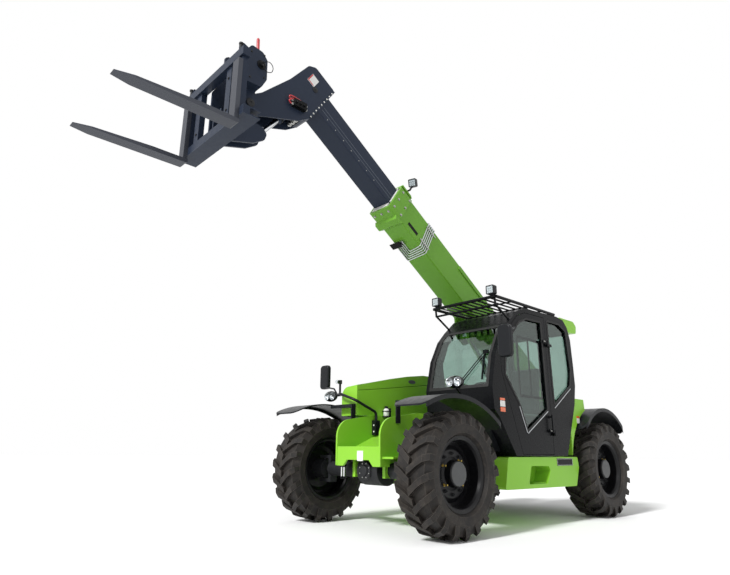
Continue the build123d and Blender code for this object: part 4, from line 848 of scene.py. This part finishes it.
strapLook = {"u": 3.045, "length": 0.2, "wide": 0.018, "proud": 0.0195, "w": (0.16, -0.08),
             "bolts": (-0.092, 0.092)}
straps = bmesh.new()
for w in strapLook["w"]:
    slab(straps, alongBoom(strapLook["u"], boomLook["left"] + strapLook["proud"], w),
         (strapLook["length"], 0.003, strapLook["wide"]), boomWays)
    for u in strapLook["bolts"]:
        spot = alongBoom(strapLook["u"] + u, boomLook["left"] + strapLook["proud"] + 0.0015, w)
        boltHead(straps, spot, yWay, 0.006, 0.006)
settle("pipeStraps", straps, "zincBolt", "boom", 0.0006)
slabPiece("boomSidePlate", alongBoom(3.3, boomLook["left"] + 0.0012, -0.06), (0.2, 0.0024, 0.045),
          "satinBlack", "boom", 0.0008, boomWays)

tail = bmesh.new()
tailFoot = -0.15
for y in (-0.29, -0.05):
    for w in (-0.1, 0.19):
        boltHead(tail, alongBoom(tailFoot, y, w), -boomWay, 0.016, 0.014)
ringBand(tail, [alongBoom(tailFoot, boomAim["middle"] + a, 0.045 + b)
                for a, b in roundedRing(0.2, 0.22, 0.03)], -boomWay, 0.02, 0.006)
settle("boomTailCover", tail, "boomGreen", "boom", 0.0015)

pivotLook = {"keeperX": -1.79, "boltsX": (-1.815, -1.765), "keeperHalf": 0.206, "capHalf": 0.224}
pivotX, pivotZ = boomAim["pivot"]
pinEnds("boomPivotCaps", at(pivotX, boomAim["middle"], pivotZ), pivotLook["capHalf"],
        [(0, 0), (0.043, 0), (0.043, 0.006), (0.036, 0.01), (0.014, 0.01), (0.012, 0.004), (0, 0.004)],
        "zincBolt", "chassis", 30)
keepers = bmesh.new()
for way in (yWay, -yWay):
    face = way * pivotLook["keeperHalf"]
    spot = at(pivotLook["keeperX"], boomAim["middle"], pivotZ) + face
    slab(keepers, spot + way * 0.006, (0.1, 0.012, 0.06))
    for x in pivotLook["boltsX"]:
        boltHead(keepers, at(x, boomAim["middle"], pivotZ) + face + way * 0.012, way, 0.011, 0.01)
settle("boomPivotKeepers", keepers, "castIron", "chassis", 0.002)

innerLook = {"half": 0.13, "studs": 7, "firstStud": 4.1, "studStep": 0.15, "studW": -0.045,
             "highlightMiddle": 3.72, "highlightLength": 2.8, "highlightW": (-0.012, 0.034)}
studs = bmesh.new()
for k in range(innerLook["studs"]):
    u = innerLook["firstStud"] + k * innerLook["studStep"]
    for way in (yWay, -yWay):
        lathe(studs, [(0, 0), (0.006, 0), (0.005, 0.0002), (0, 0.00025)],
              alongBoom(u, boomAim["middle"], innerLook["studW"]) + way * innerLook["half"], way, 12)
settle("innerBoomStuds", studs, "zincBolt", "boom_extension")
# painted highlights: two thin lighter slate strips on each side of the inner boom stand in for the light
# caught along its edges
lines = bmesh.new()
for w in innerLook["highlightW"]:
    for way in (yWay, -yWay):
        spot = alongBoom(innerLook["highlightMiddle"], boomAim["middle"], w) + way * (innerLook["half"] + 0.0001)
        slab(lines, spot, (innerLook["highlightLength"], 0.0002, 0.008), boomWays)
settle("innerBoomPaintedHighlights", lines, "paintedHighlightSlate", "boom_extension")
print("boom dressed")

flangeLook = {"u": headEnd + 0.013, "left": -0.034, "right": -0.306, "first": -0.24, "step": 0.066,
              "bolts": 9}
studs = bmesh.new()
for k in range(flangeLook["bolts"]):
    w = flangeLook["first"] + k * flangeLook["step"]
    boltHead(studs, alongBoom(flangeLook["u"], flangeLook["left"], w), yWay, 0.0075, 0.006)
    boltHead(studs, alongBoom(flangeLook["u"], flangeLook["right"], w), -yWay, 0.0075, 0.006)
settle("headFlangeBolts", studs, "whitePad", "boom_extension")

# the blank plate on the head's left side, with two red marks on it
headLeft = -0.04
plateLook = {"u": headEnd + 0.268, "w": 0.172, "spans": (0.11, 0.002, 0.13),
             "marks": ((0.047, 0.0, (0.014, 0.001, 0.12)), (0.0, -0.054, (0.08, 0.001, 0.012)))}
slabPiece("headSidePlate", alongBoom(plateLook["u"], headLeft + 0.001, plateLook["w"]), plateLook["spans"],
          "whitePlate", "boom_extension", 0.0006, boomWays)
marks = bmesh.new()
for u, w, spans in plateLook["marks"]:
    slab(marks, alongBoom(plateLook["u"] + u, headLeft + 0.0022, plateLook["w"] + w), spans, boomWays)
settle("headSidePlateMarks", marks, "redPaint", "boom_extension")

# valve block that hangs level under the head, with its two red hoses
valveLook = {"u": headEnd + 0.19, "w": -0.3, "length": 0.17, "depth": 0.06, "height": 0.085, "plugs": 0.05,
             "rows": 0.022, "hose": 0.008}
spot = alongBoom(valveLook["u"], headLeft + valveLook["depth"] / 2, valveLook["w"])
block = bmesh.new()
slab(block, spot, (valveLook["length"], valveLook["depth"], valveLook["height"]))
for k in (-1, 0, 1):
    lathe(block, [(0, 0), (0.014, 0), (0.014, 0.014), (0.011, 0.018), (0, 0.018)],
          spot + xWay * k * valveLook["plugs"] + yWay * valveLook["depth"] / 2, yWay, 16)
settle("headValveBlock", block, "satinBlack", "boom_extension", 0.003)
fittings = bmesh.new()
for k in (-1, 1):
    for side in (-1, 1):
        boltHead(fittings, spot + xWay * side * valveLook["length"] / 2 + zWay * k * valveLook["rows"],
                 xWay * side, 0.014, 0.02)
settle("headValveFittings", fittings, "zincBolt", "boom_extension")
for name, k in (("headHoseLow", -1), ("headHoseHigh", 1)):
    start = spot + xWay * (valveLook["length"] / 2 + 0.012) + zWay * k * valveLook["rows"]
    route = ((0, 0, 0), (0.03, 0, 0), (0.045, 0.008, 0.03 + 0.008 * k), (0, 0.014, 0.05 - 0.012 * k),
             (-0.09, 0.01, 0.046 - 0.012 * k), (-0.13, -0.012, 0.05 - 0.006 * k), (-0.14, -0.034, 0.05))
    pipe(name, [start + Vector(step) for step in route], valveLook["hose"], "redPaint", "boom_extension")

couplingLook = {"u": headEnd + 0.09, "w": -0.29, "apart": 0.06, "plate": (0.06, 0.2, 0.03)}
coupling = bmesh.new()
spot = alongBoom(couplingLook["u"], boomAim["middle"], couplingLook["w"])
for k in (-1, 0, 1):
    lathe(coupling, [(0, 0), (0.02, 0), (0.02, 0.02), (0.016, 0.024), (0.016, 0.06), (0.024, 0.064),
                     (0.024, 0.1), (0.014, 0.104), (0.012, 0.12), (0, 0.12)],
          spot + yWay * k * couplingLook["apart"], -boomUp, 16)
slab(coupling, spot + boomUp * 0.012, couplingLook["plate"], boomWays)
settle("headCouplings", coupling, "zincBolt", "boom_extension", 0.001)
tiltFoot = alongBoom(headEnd + 0.181, boomAim["middle"], 0.098)
pinEnds("tiltBasePinCaps", tiltFoot, 0.13, [(0, 0), (0.036, 0), (0.036, 0.006), (0.026, 0.009), (0, 0.009)],
        "castIron", "boom_extension", boltLift=0.008)
print("head dressed")

pivot = alongBoom(headEnd + 0.55, boomAim["middle"], -0.86)


# steps from the carriage's pivot, y from the machine's centreline
def onCarriage(x, y, z):
    return Vector((pivot.x + x, y, pivot.z + z))


leverLook = {"foot": (-0.06, -0.02, 0.56), "end": (-0.05, -0.02, 0.82)}
start, end = onCarriage(*leverLook["foot"]), onCarriage(*leverLook["end"])
length = (end - start).length
turnedPiece("lockLever", [(0.006, 0), (0.009, 0.01), (0.009, 0.03), (0.017, 0.04), (0.018, length - 0.02),
                          (0.012, length - 0.004), (0, length)],
            start, end - start, 16, "redPaint", "carriage")
markAndShadeStrip = bmesh.new()
for y in (0.106, -0.446):
    slab(markAndShadeStrip, onCarriage(0.141, y, 0.39), (0.006, 0.034, 0.24))
settle("hookMarks", markAndShadeStrip, "redPaint", "carriage", 0.001)

hookLook = {"x": -0.03, "z": 0.4, "half": 0.285, "ringHalf": 0.316, "ringBar": 0.004}
pinEnds("hookPins", onCarriage(hookLook["x"], boomAim["middle"], hookLook["z"]), hookLook["half"],
        [(0.05, 0), (0.05, 0.008), (0.034, 0.01), (0.03, 0.03), (0.022, 0.036), (0, 0.036)],
        "satinBlack", "carriage", 28)
ringRoute = ((0, 0, 0), (0, 0.01, -0.04), (-0.03, 0.014, -0.09), (-0.1, 0.014, -0.07), (-0.12, 0.014, 0),
             (-0.08, 0.014, 0.05), (-0.02, 0.012, 0.03), (0, 0, 0.005))
for side, way in (("Left", 1), ("Right", -1)):
    y = boomAim["middle"] + way * hookLook["ringHalf"]
    route = [onCarriage(hookLook["x"] + a, y + way * b, hookLook["z"] + c) for a, b, c in ringRoute]
    pipe("pinRing" + side, route, hookLook["ringBar"], "satinBlack", "carriage")
pinEnds("carriagePivotCaps", onCarriage(0, boomAim["middle"], 0), 0.175,
        [(0, 0), (0.046, 0), (0.046, 0.007), (0.03, 0.011), (0.014, 0.011), (0.012, 0.005), (0, 0.005)],
        "castIron", "carriage", 28)

frameLook = {"face": 0.323, "boltsY": (-0.674, -0.47, 0.13, 0.334), "boltsZ": (-0.3, 0.05),
             "hookBolts": ((0.09, 0.2), (0.09, 0.5), (-0.06, 0.53), (-0.07, 0.27)),
             "stops": (("Left", 0.334), ("Right", -0.674)), "stopFoot": (0.33, 0.262)}
carriageBolts = bmesh.new()
for y in frameLook["boltsY"]:
    for z in frameLook["boltsZ"]:
        boltHead(carriageBolts, onCarriage(frameLook["face"], y, z), xWay, 0.011, 0.01)
for way in (yWay, -yWay):
    for x, z in frameLook["hookBolts"]:
        spot = onCarriage(x, boomAim["middle"], z) + way * hookLook["half"]
        boltHead(carriageBolts, spot, way, 0.009, 0.008)
settle("carriageBolts", carriageBolts, "castIron", "carriage")
for side, y in frameLook["stops"]:
    x, z = frameLook["stopFoot"]
    turnedPiece("forkStop" + side, [(0.014, 0), (0.014, 0.05), (0.022, 0.052), (0.022, 0.066), (0, 0.07)],
                onCarriage(x, y, z), zWay, 18, "castIron", "carriage")
print("carriage dressed")

cylinderLook = {"weld": 0.11, "portFoot": 0.15, "portEnd": 0.08, "gland": 0.036, "line": 0.006,
                "lineLift": 0.024}


# gland, weld bead, ports and the line between them along a barrel
def cylinderTrim(name, eye, end, length, radius, body):
    way = (end - eye).normalized()
    gland = bmesh.new()
    lathe(gland, [(radius + 0.0005, 0), (radius + 0.006, 0.004), (radius + 0.006, 0.03),
                  (radius + 0.0005, 0.034)],
          eye + way * (length - cylinderLook["gland"]), way, 36)
    lathe(gland, [(radius + 0.0004, 0), (radius + 0.005, 0.005), (radius + 0.0004, 0.01)],
          eye + way * cylinderLook["weld"], way, 36)
    settle(name + "Gland", gland, "satinBlack", body)
    side = way.cross(yWay).normalized()
    if side.z < 0:
        side = -side
    ports = bmesh.new()
    places = [eye + way * reach for reach in (cylinderLook["portFoot"], length - cylinderLook["portEnd"])]
    for place in places:
        lathe(ports, [(0.016, -0.01), (0.016, 0.014), (0.012, 0.016), (0.012, 0.026), (0, 0.026)],
              place + side * radius, side, 16)
    settle(name + "Ports", ports, "zincBolt", body)
    a, b = (place + side * (radius + cylinderLook["lineLift"]) for place in places)
    pipe(name + "Line", [a - side * 0.008, a + side * 0.004, a + way * 0.05 + side * 0.004,
                         b - way * 0.05 + side * 0.004, b + side * 0.004, b - side * 0.008],
         cylinderLook["line"], "pipeSteel", body)


liftEye = alongBoom(1.6, boomAim["middle"], -0.32)
liftFoot = at(-1.65, boomAim["middle"], 1.05)
tiltEye = onCarriage(-0.211, boomAim["middle"], -0.22)
cylinderTrim("liftCylinder", liftFoot, liftEye, 1.18, 0.07, "lift_barrel")
cylinderTrim("tiltCylinder", tiltFoot, tiltEye, 0.64, 0.05, "tilt_barrel")
pinEnds("liftFootPinCaps", liftFoot, 0.096, [(0, 0), (0.036, 0), (0.036, 0.006), (0.028, 0.009), (0, 0.009)],
        "castIron", "chassis", boltLift=0.008)
pinEnds("liftEyePinCaps", liftEye, 0.101, [(0, 0), (0.042, 0), (0.042, 0.008), (0.03, 0.011), (0, 0.011)],
        "castIron", "boom", boltLift=0.01)
print("cylinders dressed")

noseLook = {"face": 1.746, "plate": (0.09, 0.1), "middle": (0.0, 0.715), "pins": (0.038, 0.042),
            "rodX": 1.69, "rodsY": (-0.345, -0.305), "rodFoot": 0.5, "rodLength": 0.111}
y, z = noseLook["middle"]
slabPiece("nosePlate", at(noseLook["face"], y, z), (0.002, *noseLook["plate"]), "whitePlate", "chassis",
          0.0006)
platePins = bmesh.new()
for a in (-1, 1):
    for b in (-1, 1):
        lathe(platePins, [(0.003, 0), (0.003, 0.003), (0, 0.004)],
              at(noseLook["face"], y + a * noseLook["pins"][0], z + b * noseLook["pins"][1]), xWay, 10)
settle("nosePlatePins", platePins, "zincBolt", "chassis")
rods, ends = bmesh.new(), bmesh.new()
for y in noseLook["rodsY"]:
    foot = at(noseLook["rodX"], y, noseLook["rodFoot"])
    lathe(rods, [(0.011, 0), (0.011, noseLook["rodLength"] - 0.001), (0.0, noseLook["rodLength"])],
          foot, zWay, 18)
    lathe(ends, [(0, -0.024), (0.014, -0.022), (0.016, -0.012), (0.016, 0.002), (0.011, 0.004)],
          foot, zWay, 18)
    lathe(ends, [(0.016, 0.0), (0.016, 0.014), (0.011, 0.016)], foot + zWay * 0.098, zWay, 18)
slab(ends, at(noseLook["rodX"], sum(noseLook["rodsY"]) / 2, 0.618), (0.04, 0.09, 0.014))
settle("noseRods", rods, "chromeRod", "chassis")
settle("noseRodEnds", ends, "satinBlack", "chassis", 0.0015)

axleLook = {"saddles": (((1.56, 1.46, 1.36), 0.56), ((-1.39, -1.5, -1.61), 0.58)), "half": 0.34, "axleX": 1.5,
            "coverSpot": (-0.02, 0.57), "coverFace": 0.138, "ringBolts": 8, "ringCircle": 0.072}
bolts = bmesh.new()
for saddle, z in axleLook["saddles"]:
    for x in saddle:
        for way in (yWay, -yWay):
            boltHead(bolts, at(x, -0.04, z) + way * axleLook["half"], way, 0.013, 0.012)
settle("axleBolts", bolts, "castIron", "chassis")
for name, way in (("Front", xWay), ("Rear", -xWay)):
    base = at(0, *axleLook["coverSpot"]) + way * (axleLook["axleX"] + axleLook["coverFace"])
    turnedPiece("axleCover" + name, [(0, 0.05), (0.03, 0.05), (0.05, 0.044), (0.056, 0.03), (0.085, 0.026),
                                     (0.09, 0.018), (0.09, 0)], base, way, 32, "castIron", "chassis")
    ringBolts = bmesh.new()
    for k in range(axleLook["ringBolts"]):
        t = math.tau * (k + 0.5) / axleLook["ringBolts"]
        spot = base + way * 0.026 + Vector((0, math.cos(t), math.sin(t))) * axleLook["ringCircle"]
        boltHead(ringBolts, spot, way, 0.006, 0.006)
    settle("axleCoverBolts" + name, ringBolts, "zincBolt", "chassis")

stayBolts = bmesh.new()
for z in (0.975, 1.045):
    lathe(stayBolts, [(0.009, 0), (0.009, 0.003), (0, 0.004)], at(1.2355, -0.325, z), xWay, 14)
settle("stayFootBolts", stayBolts, "whitePad", "chassis")

# washer bottle in its holder, each block as (step from the middle, spans)
bottleLook = {"middle": (1.02, -0.338, 1.2), "body": -0.045, "cap": 0.043,
              "holder": (((-0.046, 0, -0.03), (0.012, 0.05, 0.16)), ((0, 0, -0.052), (0.09, 0.06, 0.012)),
                         ((-0.046, 0, -0.115), (0.012, 0.03, 0.1)),
                         ((-0.005, 0, 0.012), (0.082, 0.074, 0.01)))}
middle = at(*bottleLook["middle"])
turnedPiece("washBottle", [(0, 0), (0.026, 0), (0.034, 0.012), (0.034, 0.07), (0.026, 0.084), (0.018, 0.09),
                           (0, 0.09)], middle + zWay * bottleLook["body"], zWay, 24, "whitePad", "chassis")
holder = bmesh.new()
lathe(holder, [(0.019, 0), (0.022, 0.004), (0.022, 0.022), (0.017, 0.028), (0, 0.028)],
      middle + zWay * bottleLook["cap"], zWay, 24)
for step, spans in bottleLook["holder"]:
    slab(holder, middle + Vector(step), spans)
settle("washBottleHolder", holder, "blackPlastic", "chassis", 0.002)

weightLook = {"bolts": ((-0.5, 0.68), (-0.2, 0.68), (-0.2, 1.0), (0.2, 0.68), (0.2, 1.0), (0.5, 0.68))}
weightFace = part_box("counterweight")[0].x
tailBolts = bmesh.new()
for y, z in weightLook["bolts"]:
    boltHead(tailBolts, Vector((weightFace, y, z)), -xWay, 0.018, 0.016)
settle("counterweightBolts", tailBolts, "castIron", "chassis")
turnedPiece("hitchPin", [(0, 0), (0.014, 0.004), (0.0185, 0.02), (0.0185, 0.25), (0.03, 0.252), (0.03, 0.262),
                         (0, 0.264)],
            Vector((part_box("tow_hitch")[0].x + 0.05, 0, 0.58)), zWay, 20, "zincBolt", "chassis")
print("chassis dressed")

beamLook = {"face": 1.04, "plate": (-0.52, 0.66), "plateSpans": (0.36, 0.08), "plateThick": 0.003,
            "treadFrom": -0.15, "treadStep": 0.0375, "treads": 9, "treadSpot": (0.95, 0.447)}
x, z = beamLook["plate"]
long, tall = beamLook["plateSpans"]
slabPiece("beamPlate", at(x, beamLook["face"] + beamLook["plateThick"] / 2, z),
          (long, beamLook["plateThick"], tall), "satinBlack", "chassis", 0.001)
edge = bmesh.new()
ringBand(edge, [at(x + a, beamLook["face"] + beamLook["plateThick"], z + b)
                for a, b in roundedRing(long - 0.008, tall - 0.008, 0.006)], yWay, 0.003, 0.0008)
settle("beamPlateEdge", edge, "whitePlate", "chassis")
tread = bmesh.new()
for k in range(beamLook["treads"]):
    spot = at(beamLook["treadFrom"] + k * beamLook["treadStep"], *beamLook["treadSpot"])
    slab(tread, spot, (0.012, 0.15, 0.01))
settle("stepTread", tread, "bodyGreen", "chassis", 0.002)
turnedPiece("tankCap", [(0.05, 0), (0.05, 0.006), (0.042, 0.01), (0.042, 0.024), (0.036, 0.03), (0.012, 0.03),
                        (0.012, 0.036), (0, 0.037)],
            at(0.38, -0.9, 0.735), zWay, 28, "blackPlastic", "chassis")
towerLook = {"x": -0.94, "face": 1.041, "wide": 0.07}
for name, z, tall, finish in (("towerPlate", 1.14, 0.06, "whitePlate"),
                              ("towerReflector", 1.185, 0.024, "orangeLens")):
    slabPiece(name, at(towerLook["x"], towerLook["face"], z), (towerLook["wide"], 0.002, tall), finish,
              "chassis", 0.0006)
print("beam dressed")


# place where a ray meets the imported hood, or nothing
def castOntoHood(start, way):
    hit, place = nodes["engine_hood"].ray_cast(start, way)[:2]
    return place if hit else None


badgeLook = {"spot": (0.52, 1.6), "half": (0.065, 0.024), "turns": 28, "thick": 0.004}
x, z = badgeLook["spot"]
place = castOntoHood(at(x, -0.1, z), -yWay)
long, tall = badgeLook["half"]
turns = [math.tau * k / badgeLook["turns"] for k in range(badgeLook["turns"])]
badge = bmesh.new()
prism(badge, [place + Vector((long * math.cos(t), 0.0002, tall * math.sin(t))) for t in turns],
      yWay * badgeLook["thick"])
settle("hoodBadge", badge, "hubGrey", "hood", 0.001)

# painted shade: a darker green strip, raised a little and laid along the hood's crown, stands in for a dark
# band of shade across the hood top
shadeBandLook = {"x": (0.22, 0.4), "y": (-0.4, -0.9), "slant": 0.22, "proud": 0.0025, "steps": 16}
markAndShadeStrip = bmesh.new()
rows = []
for k in range(shadeBandLook["steps"] + 1):
    first, last = shadeBandLook["y"]
    y = first + (last - first) * k / shadeBandLook["steps"]
    row = [castOntoHood(at(x + (y - first) * shadeBandLook["slant"], y, 2.0), -zWay) for x in shadeBandLook["x"]]
    if None not in row:
        rows.append([markAndShadeStrip.verts.new(p + zWay * h) for h in (0.0002, shadeBandLook["proud"]) for p in row])
for a, b in zip(rows, rows[1:]):
    for i, j in ((0, 1), (1, 3), (3, 2), (2, 0)):
        markAndShadeStrip.faces.new((a[i], a[j], b[j], b[i]))
for row in (rows[0], rows[-1]):
    markAndShadeStrip.faces.new((row[0], row[1], row[3], row[2]))
settle("hoodPaintedShade", markAndShadeStrip, "boomGreen", "hood")

ventLook = {"x": (-0.55, 0.35), "z": (1.24, 1.5), "rows": 9, "depth": 0.012, "tall": 0.012}
vents = bmesh.new()
bottom, top = ventLook["z"]
for k in range(ventLook["rows"]):
    z = bottom + (top - bottom) * k / (ventLook["rows"] - 1)
    ends = [castOntoHood(at(x, -1.6, z), yWay) for x in ventLook["x"]]
    if None not in ends:
        barBetween(vents, *ends, ventLook["depth"], ventLook["tall"], -yWay * ventLook["depth"] * 0.25)
settle("hoodVents", vents, "blackPlastic", "hood", 0.002)
turnedPiece("hoodLatch", [(0.024, -0.002), (0.024, 0.004), (0.018, 0.007), (0.008, 0.007), (0.006, 0.003),
                          (0, 0.003)],
            castOntoHood(at(1.1, -1.6, 1.2), yWay), -yWay, 24, "satinBlack", "hood")
print("hood dressed")

seatLook = {"cushion": ((-0.44, 0.0), (0.43, 0.85), (1.09, 1.19)),
            "back": ((-0.435, -0.345), (0.45, 0.83), (1.21, 1.77), -0.105),
            "corner": 0.03, "voxel": 0.009, "pressure": 4, "steps": 20, "swell": 0.012, "fill": 0.7,
            "bellows": (-0.27, 0.625, 0.77), "bellowsSpans": (0.29, 0.3), "folds": 11, "foldStep": 0.03,
            "foldDepth": 0.022}


# remeshed evenly, then swelled by a short cloth simulation and held to a small distance
def stuffed(made):
    scene = bpy.context.scene
    even = made.modifiers.new("even", "REMESH")
    even.mode = "VOXEL"
    even.voxel_size = seatLook["voxel"]
    graph = bpy.context.evaluated_depsgraph_get()
    evenMesh = bpy.data.meshes.new_from_object(made.evaluated_get(graph))
    made.modifiers.clear()
    made.data = evenMesh
    start = [v.co.copy() for v in evenMesh.vertices]
    stuffing = made.modifiers.new("stuffing", "CLOTH")
    stuffing.settings.use_pressure = True
    stuffing.settings.uniform_pressure_force = seatLook["pressure"]
    stuffing.settings.effector_weights.gravity = 0
    for step in range(1, seatLook["steps"] + 1):
        scene.frame_set(step)
        made.evaluated_get(bpy.context.evaluated_depsgraph_get())
    swollen = bpy.data.meshes.new_from_object(made.evaluated_get(bpy.context.evaluated_depsgraph_get()))
    made.modifiers.clear()
    scene.frame_set(1)
    for vertex, before in zip(swollen.vertices, start):
        moved = vertex.co - before
        if moved.length > seatLook["swell"]:
            vertex.co = before + moved.normalized() * seatLook["swell"]
    made.data = swollen


# closed form between eight corners, swelled as stuffed fabric and smoothed
def puffed(name, corners, finish, body):
    shape = bmesh.new()
    points = [shape.verts.new(c) for c in corners]
    for quad in ((0, 3, 2, 1), (4, 5, 6, 7), (0, 1, 5, 4), (1, 2, 6, 5), (2, 3, 7, 6), (3, 0, 4, 7)):
        shape.faces.new([points[i] for i in quad])
    bmesh.ops.bevel(shape, geom=shape.edges[:], offset=seatLook["corner"], segments=3, profile=0.6,
                    affect="EDGES")
    bmesh.ops.subdivide_edges(shape, edges=shape.edges[:], cuts=3, use_grid_fill=True)
    bmesh.ops.recalc_face_normals(shape, faces=shape.faces[:])
    mesh = bpy.data.meshes.new(name)
    shape.to_mesh(mesh)
    shape.free()
    made = bpy.data.objects.new(name, mesh)
    bpy.context.collection.objects.link(made)
    stuffed(made)
    finer = made.modifiers.new("finer", "SUBSURF")
    finer.levels = finer.render_levels = 1
    for face in made.data.polygons:
        face.use_smooth = True
    made.data.materials.clear()
    made.data.materials.append(finishes[finish])
    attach(made, body)
    return made


# corners of a block, its top moved by lean along X
def eight(x, y, z, lean=0.0):
    return [at(px + (lean if pz == z[1] else 0), py, pz)
            for pz in z for px, py in ((x[0], y[0]), (x[1], y[0]), (x[1], y[1]), (x[0], y[1]))]


seatPieces = [puffed("seatCushion", eight(*seatLook["cushion"]), "seatCloth", "chassis"),
              puffed("seatBack", eight(*seatLook["back"]), "seatCloth", "chassis")]
bellows = bmesh.new()
rows = []
x, y, z = seatLook["bellows"]
for k in range(seatLook["folds"]):
    shrink = 0 if k % 2 else seatLook["foldDepth"] * 2
    wide, deep = (span - shrink for span in seatLook["bellowsSpans"])
    rows.append([bellows.verts.new(at(x + a, y + b, z + k * seatLook["foldStep"]))
                 for a, b in roundedRing(wide, deep, 0.04, 4)])
skinRings(bellows, rows, len(rows[0]))
bellows.faces.new(list(reversed(rows[0])))
bellows.faces.new(rows[-1])
seatPieces.append(settle("seatBase", bellows, "sealRubber", "chassis"))
for piece in seatPieces:
    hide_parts("operator_seat")
print("seat stuffed")

# side outlines (x, z) of the two consoles, where each starts across the cab and how wide it is
consoleLook = {"dashConsole": (0.32, 0.56, ((0.5, 0.77), (0.66, 0.77), (0.7, 1.1), (0.72, 1.24), (0.58, 1.33),
                                            (0.47, 1.3), (0.45, 1.2))),
               "sideConsole": (0.215, 0.16, ((-0.5, 0.77), (0.1, 0.77), (0.16, 1.2), (0.1, 1.27),
                                             (-0.45, 1.24)))}
for name, (y, wide, outline) in consoleLook.items():
    console = bmesh.new()
    prism(console, [at(x, y, z) for x, z in outline], yWay * wide)
    settle(name, console, "blackPlastic", "chassis", 0.012)
turnedPiece("controlStick", [(0.034, 0), (0.03, 0.02), (0.012, 0.05), (0.011, 0.12), (0.022, 0.14),
                             (0.026, 0.19), (0.018, 0.215), (0, 0.22)],
            at(0.02, 0.3, 1.25), zWay + xWay * 0.12, 20, "sealRubber", "chassis")
print("cab fitted out")

sceneLook = {"floor": 0.93, "floorHalf": 60, "skyStrength": 0.5, "backdropStrength": 1.0}
half = sceneLook["floorHalf"]
floorMesh = bpy.data.meshes.new("studioFloor")
floorMesh.from_pydata([(-half, -half, 0), (half, -half, 0), (half, half, 0), (-half, half, 0)], [],
                      [(0, 1, 2, 3)])
floorPiece = bpy.data.objects.new("studioFloor", floorMesh)
bpy.context.collection.objects.link(floorPiece)
floorMaterial, tree, shader = freshMaterial("studioFloor")
shader.inputs["Base Color"].default_value = (sceneLook["floor"], sceneLook["floor"], sceneLook["floor"], 1)
shader.inputs["Roughness"].default_value = 0.9
floorPiece.data.materials.append(floorMaterial)

# a soft sky lights the machine, while rays from the camera, mirrors and glass see a plain white
world = bpy.data.worlds.new("studio")
bpy.context.scene.world = world
world.use_nodes = True
tree = world.node_tree
light = tree.nodes["Background"]
backdrop = tree.nodes.new("ShaderNodeBackground")
for sky, strength in ((light, sceneLook["skyStrength"]), (backdrop, sceneLook["backdropStrength"])):
    sky.inputs["Color"].default_value = (1, 1, 1, 1)
    sky.inputs["Strength"].default_value = strength
kind = tree.nodes.new("ShaderNodeLightPath")
seen = kind.outputs["Is Camera Ray"]
for ray in ("Is Glossy Ray", "Is Transmission Ray"):
    either = tree.nodes.new("ShaderNodeMath")
    either.operation = "MAXIMUM"
    tree.links.new(seen, either.inputs[0])
    tree.links.new(kind.outputs[ray], either.inputs[1])
    seen = either.outputs[0]
both = tree.nodes.new("ShaderNodeMixShader")
tree.links.new(seen, both.inputs[0])
tree.links.new(light.outputs[0], both.inputs[1])
tree.links.new(backdrop.outputs[0], both.inputs[2])
tree.links.new(both.outputs[0], tree.nodes["World Output"].inputs["Surface"])

sunLook = {"keyLight": {"strength": 3.5, "angle": 10, "from": (1.0, 0.08, 0.8)},
           "fillLight": {"strength": 0.38, "angle": 60, "from": (0.5, 0.9, 0.4)}}
for name, look in sunLook.items():
    data = bpy.data.lights.new(name, "SUN")
    data.energy = look["strength"]
    data.angle = math.radians(look["angle"])
    sun = bpy.data.objects.new(name, data)
    sun.rotation_euler = Vector(look["from"]).to_track_quat("Z", "Y").to_euler()
    bpy.context.collection.objects.link(sun)

cameraLook = {"place": (4.647, 4.394, 0.771), "yaw": 46.996, "pitch": 16.246, "roll": -0.518, "lens": 27.53,
              "sensor": 36}
cameraData = bpy.data.cameras.new("camera")
cameraData.lens = cameraLook["lens"]
cameraData.sensor_width = cameraLook["sensor"]
cameraObject = bpy.data.objects.new("camera", cameraData)
bpy.context.collection.objects.link(cameraObject)
yaw, pitch, roll = (math.radians(cameraLook[k]) for k in ("yaw", "pitch", "roll"))
ahead = Vector((-math.cos(yaw) * math.cos(pitch), -math.sin(yaw) * math.cos(pitch), math.sin(pitch)))
right = ahead.cross(zWay).normalized()
turned = Matrix.Rotation(roll, 3, ahead)
right, upward = turned @ right, turned @ right.cross(ahead)
cameraObject.matrix_world = Matrix((
    (right.x, upward.x, -ahead.x, cameraLook["place"][0]),
    (right.y, upward.y, -ahead.y, cameraLook["place"][1]),
    (right.z, upward.z, -ahead.z, cameraLook["place"][2]),
    (0, 0, 0, 1)))
bpy.context.scene.camera = cameraObject
bpy.context.scene.view_settings.view_transform = "Standard"
print("scene lit")
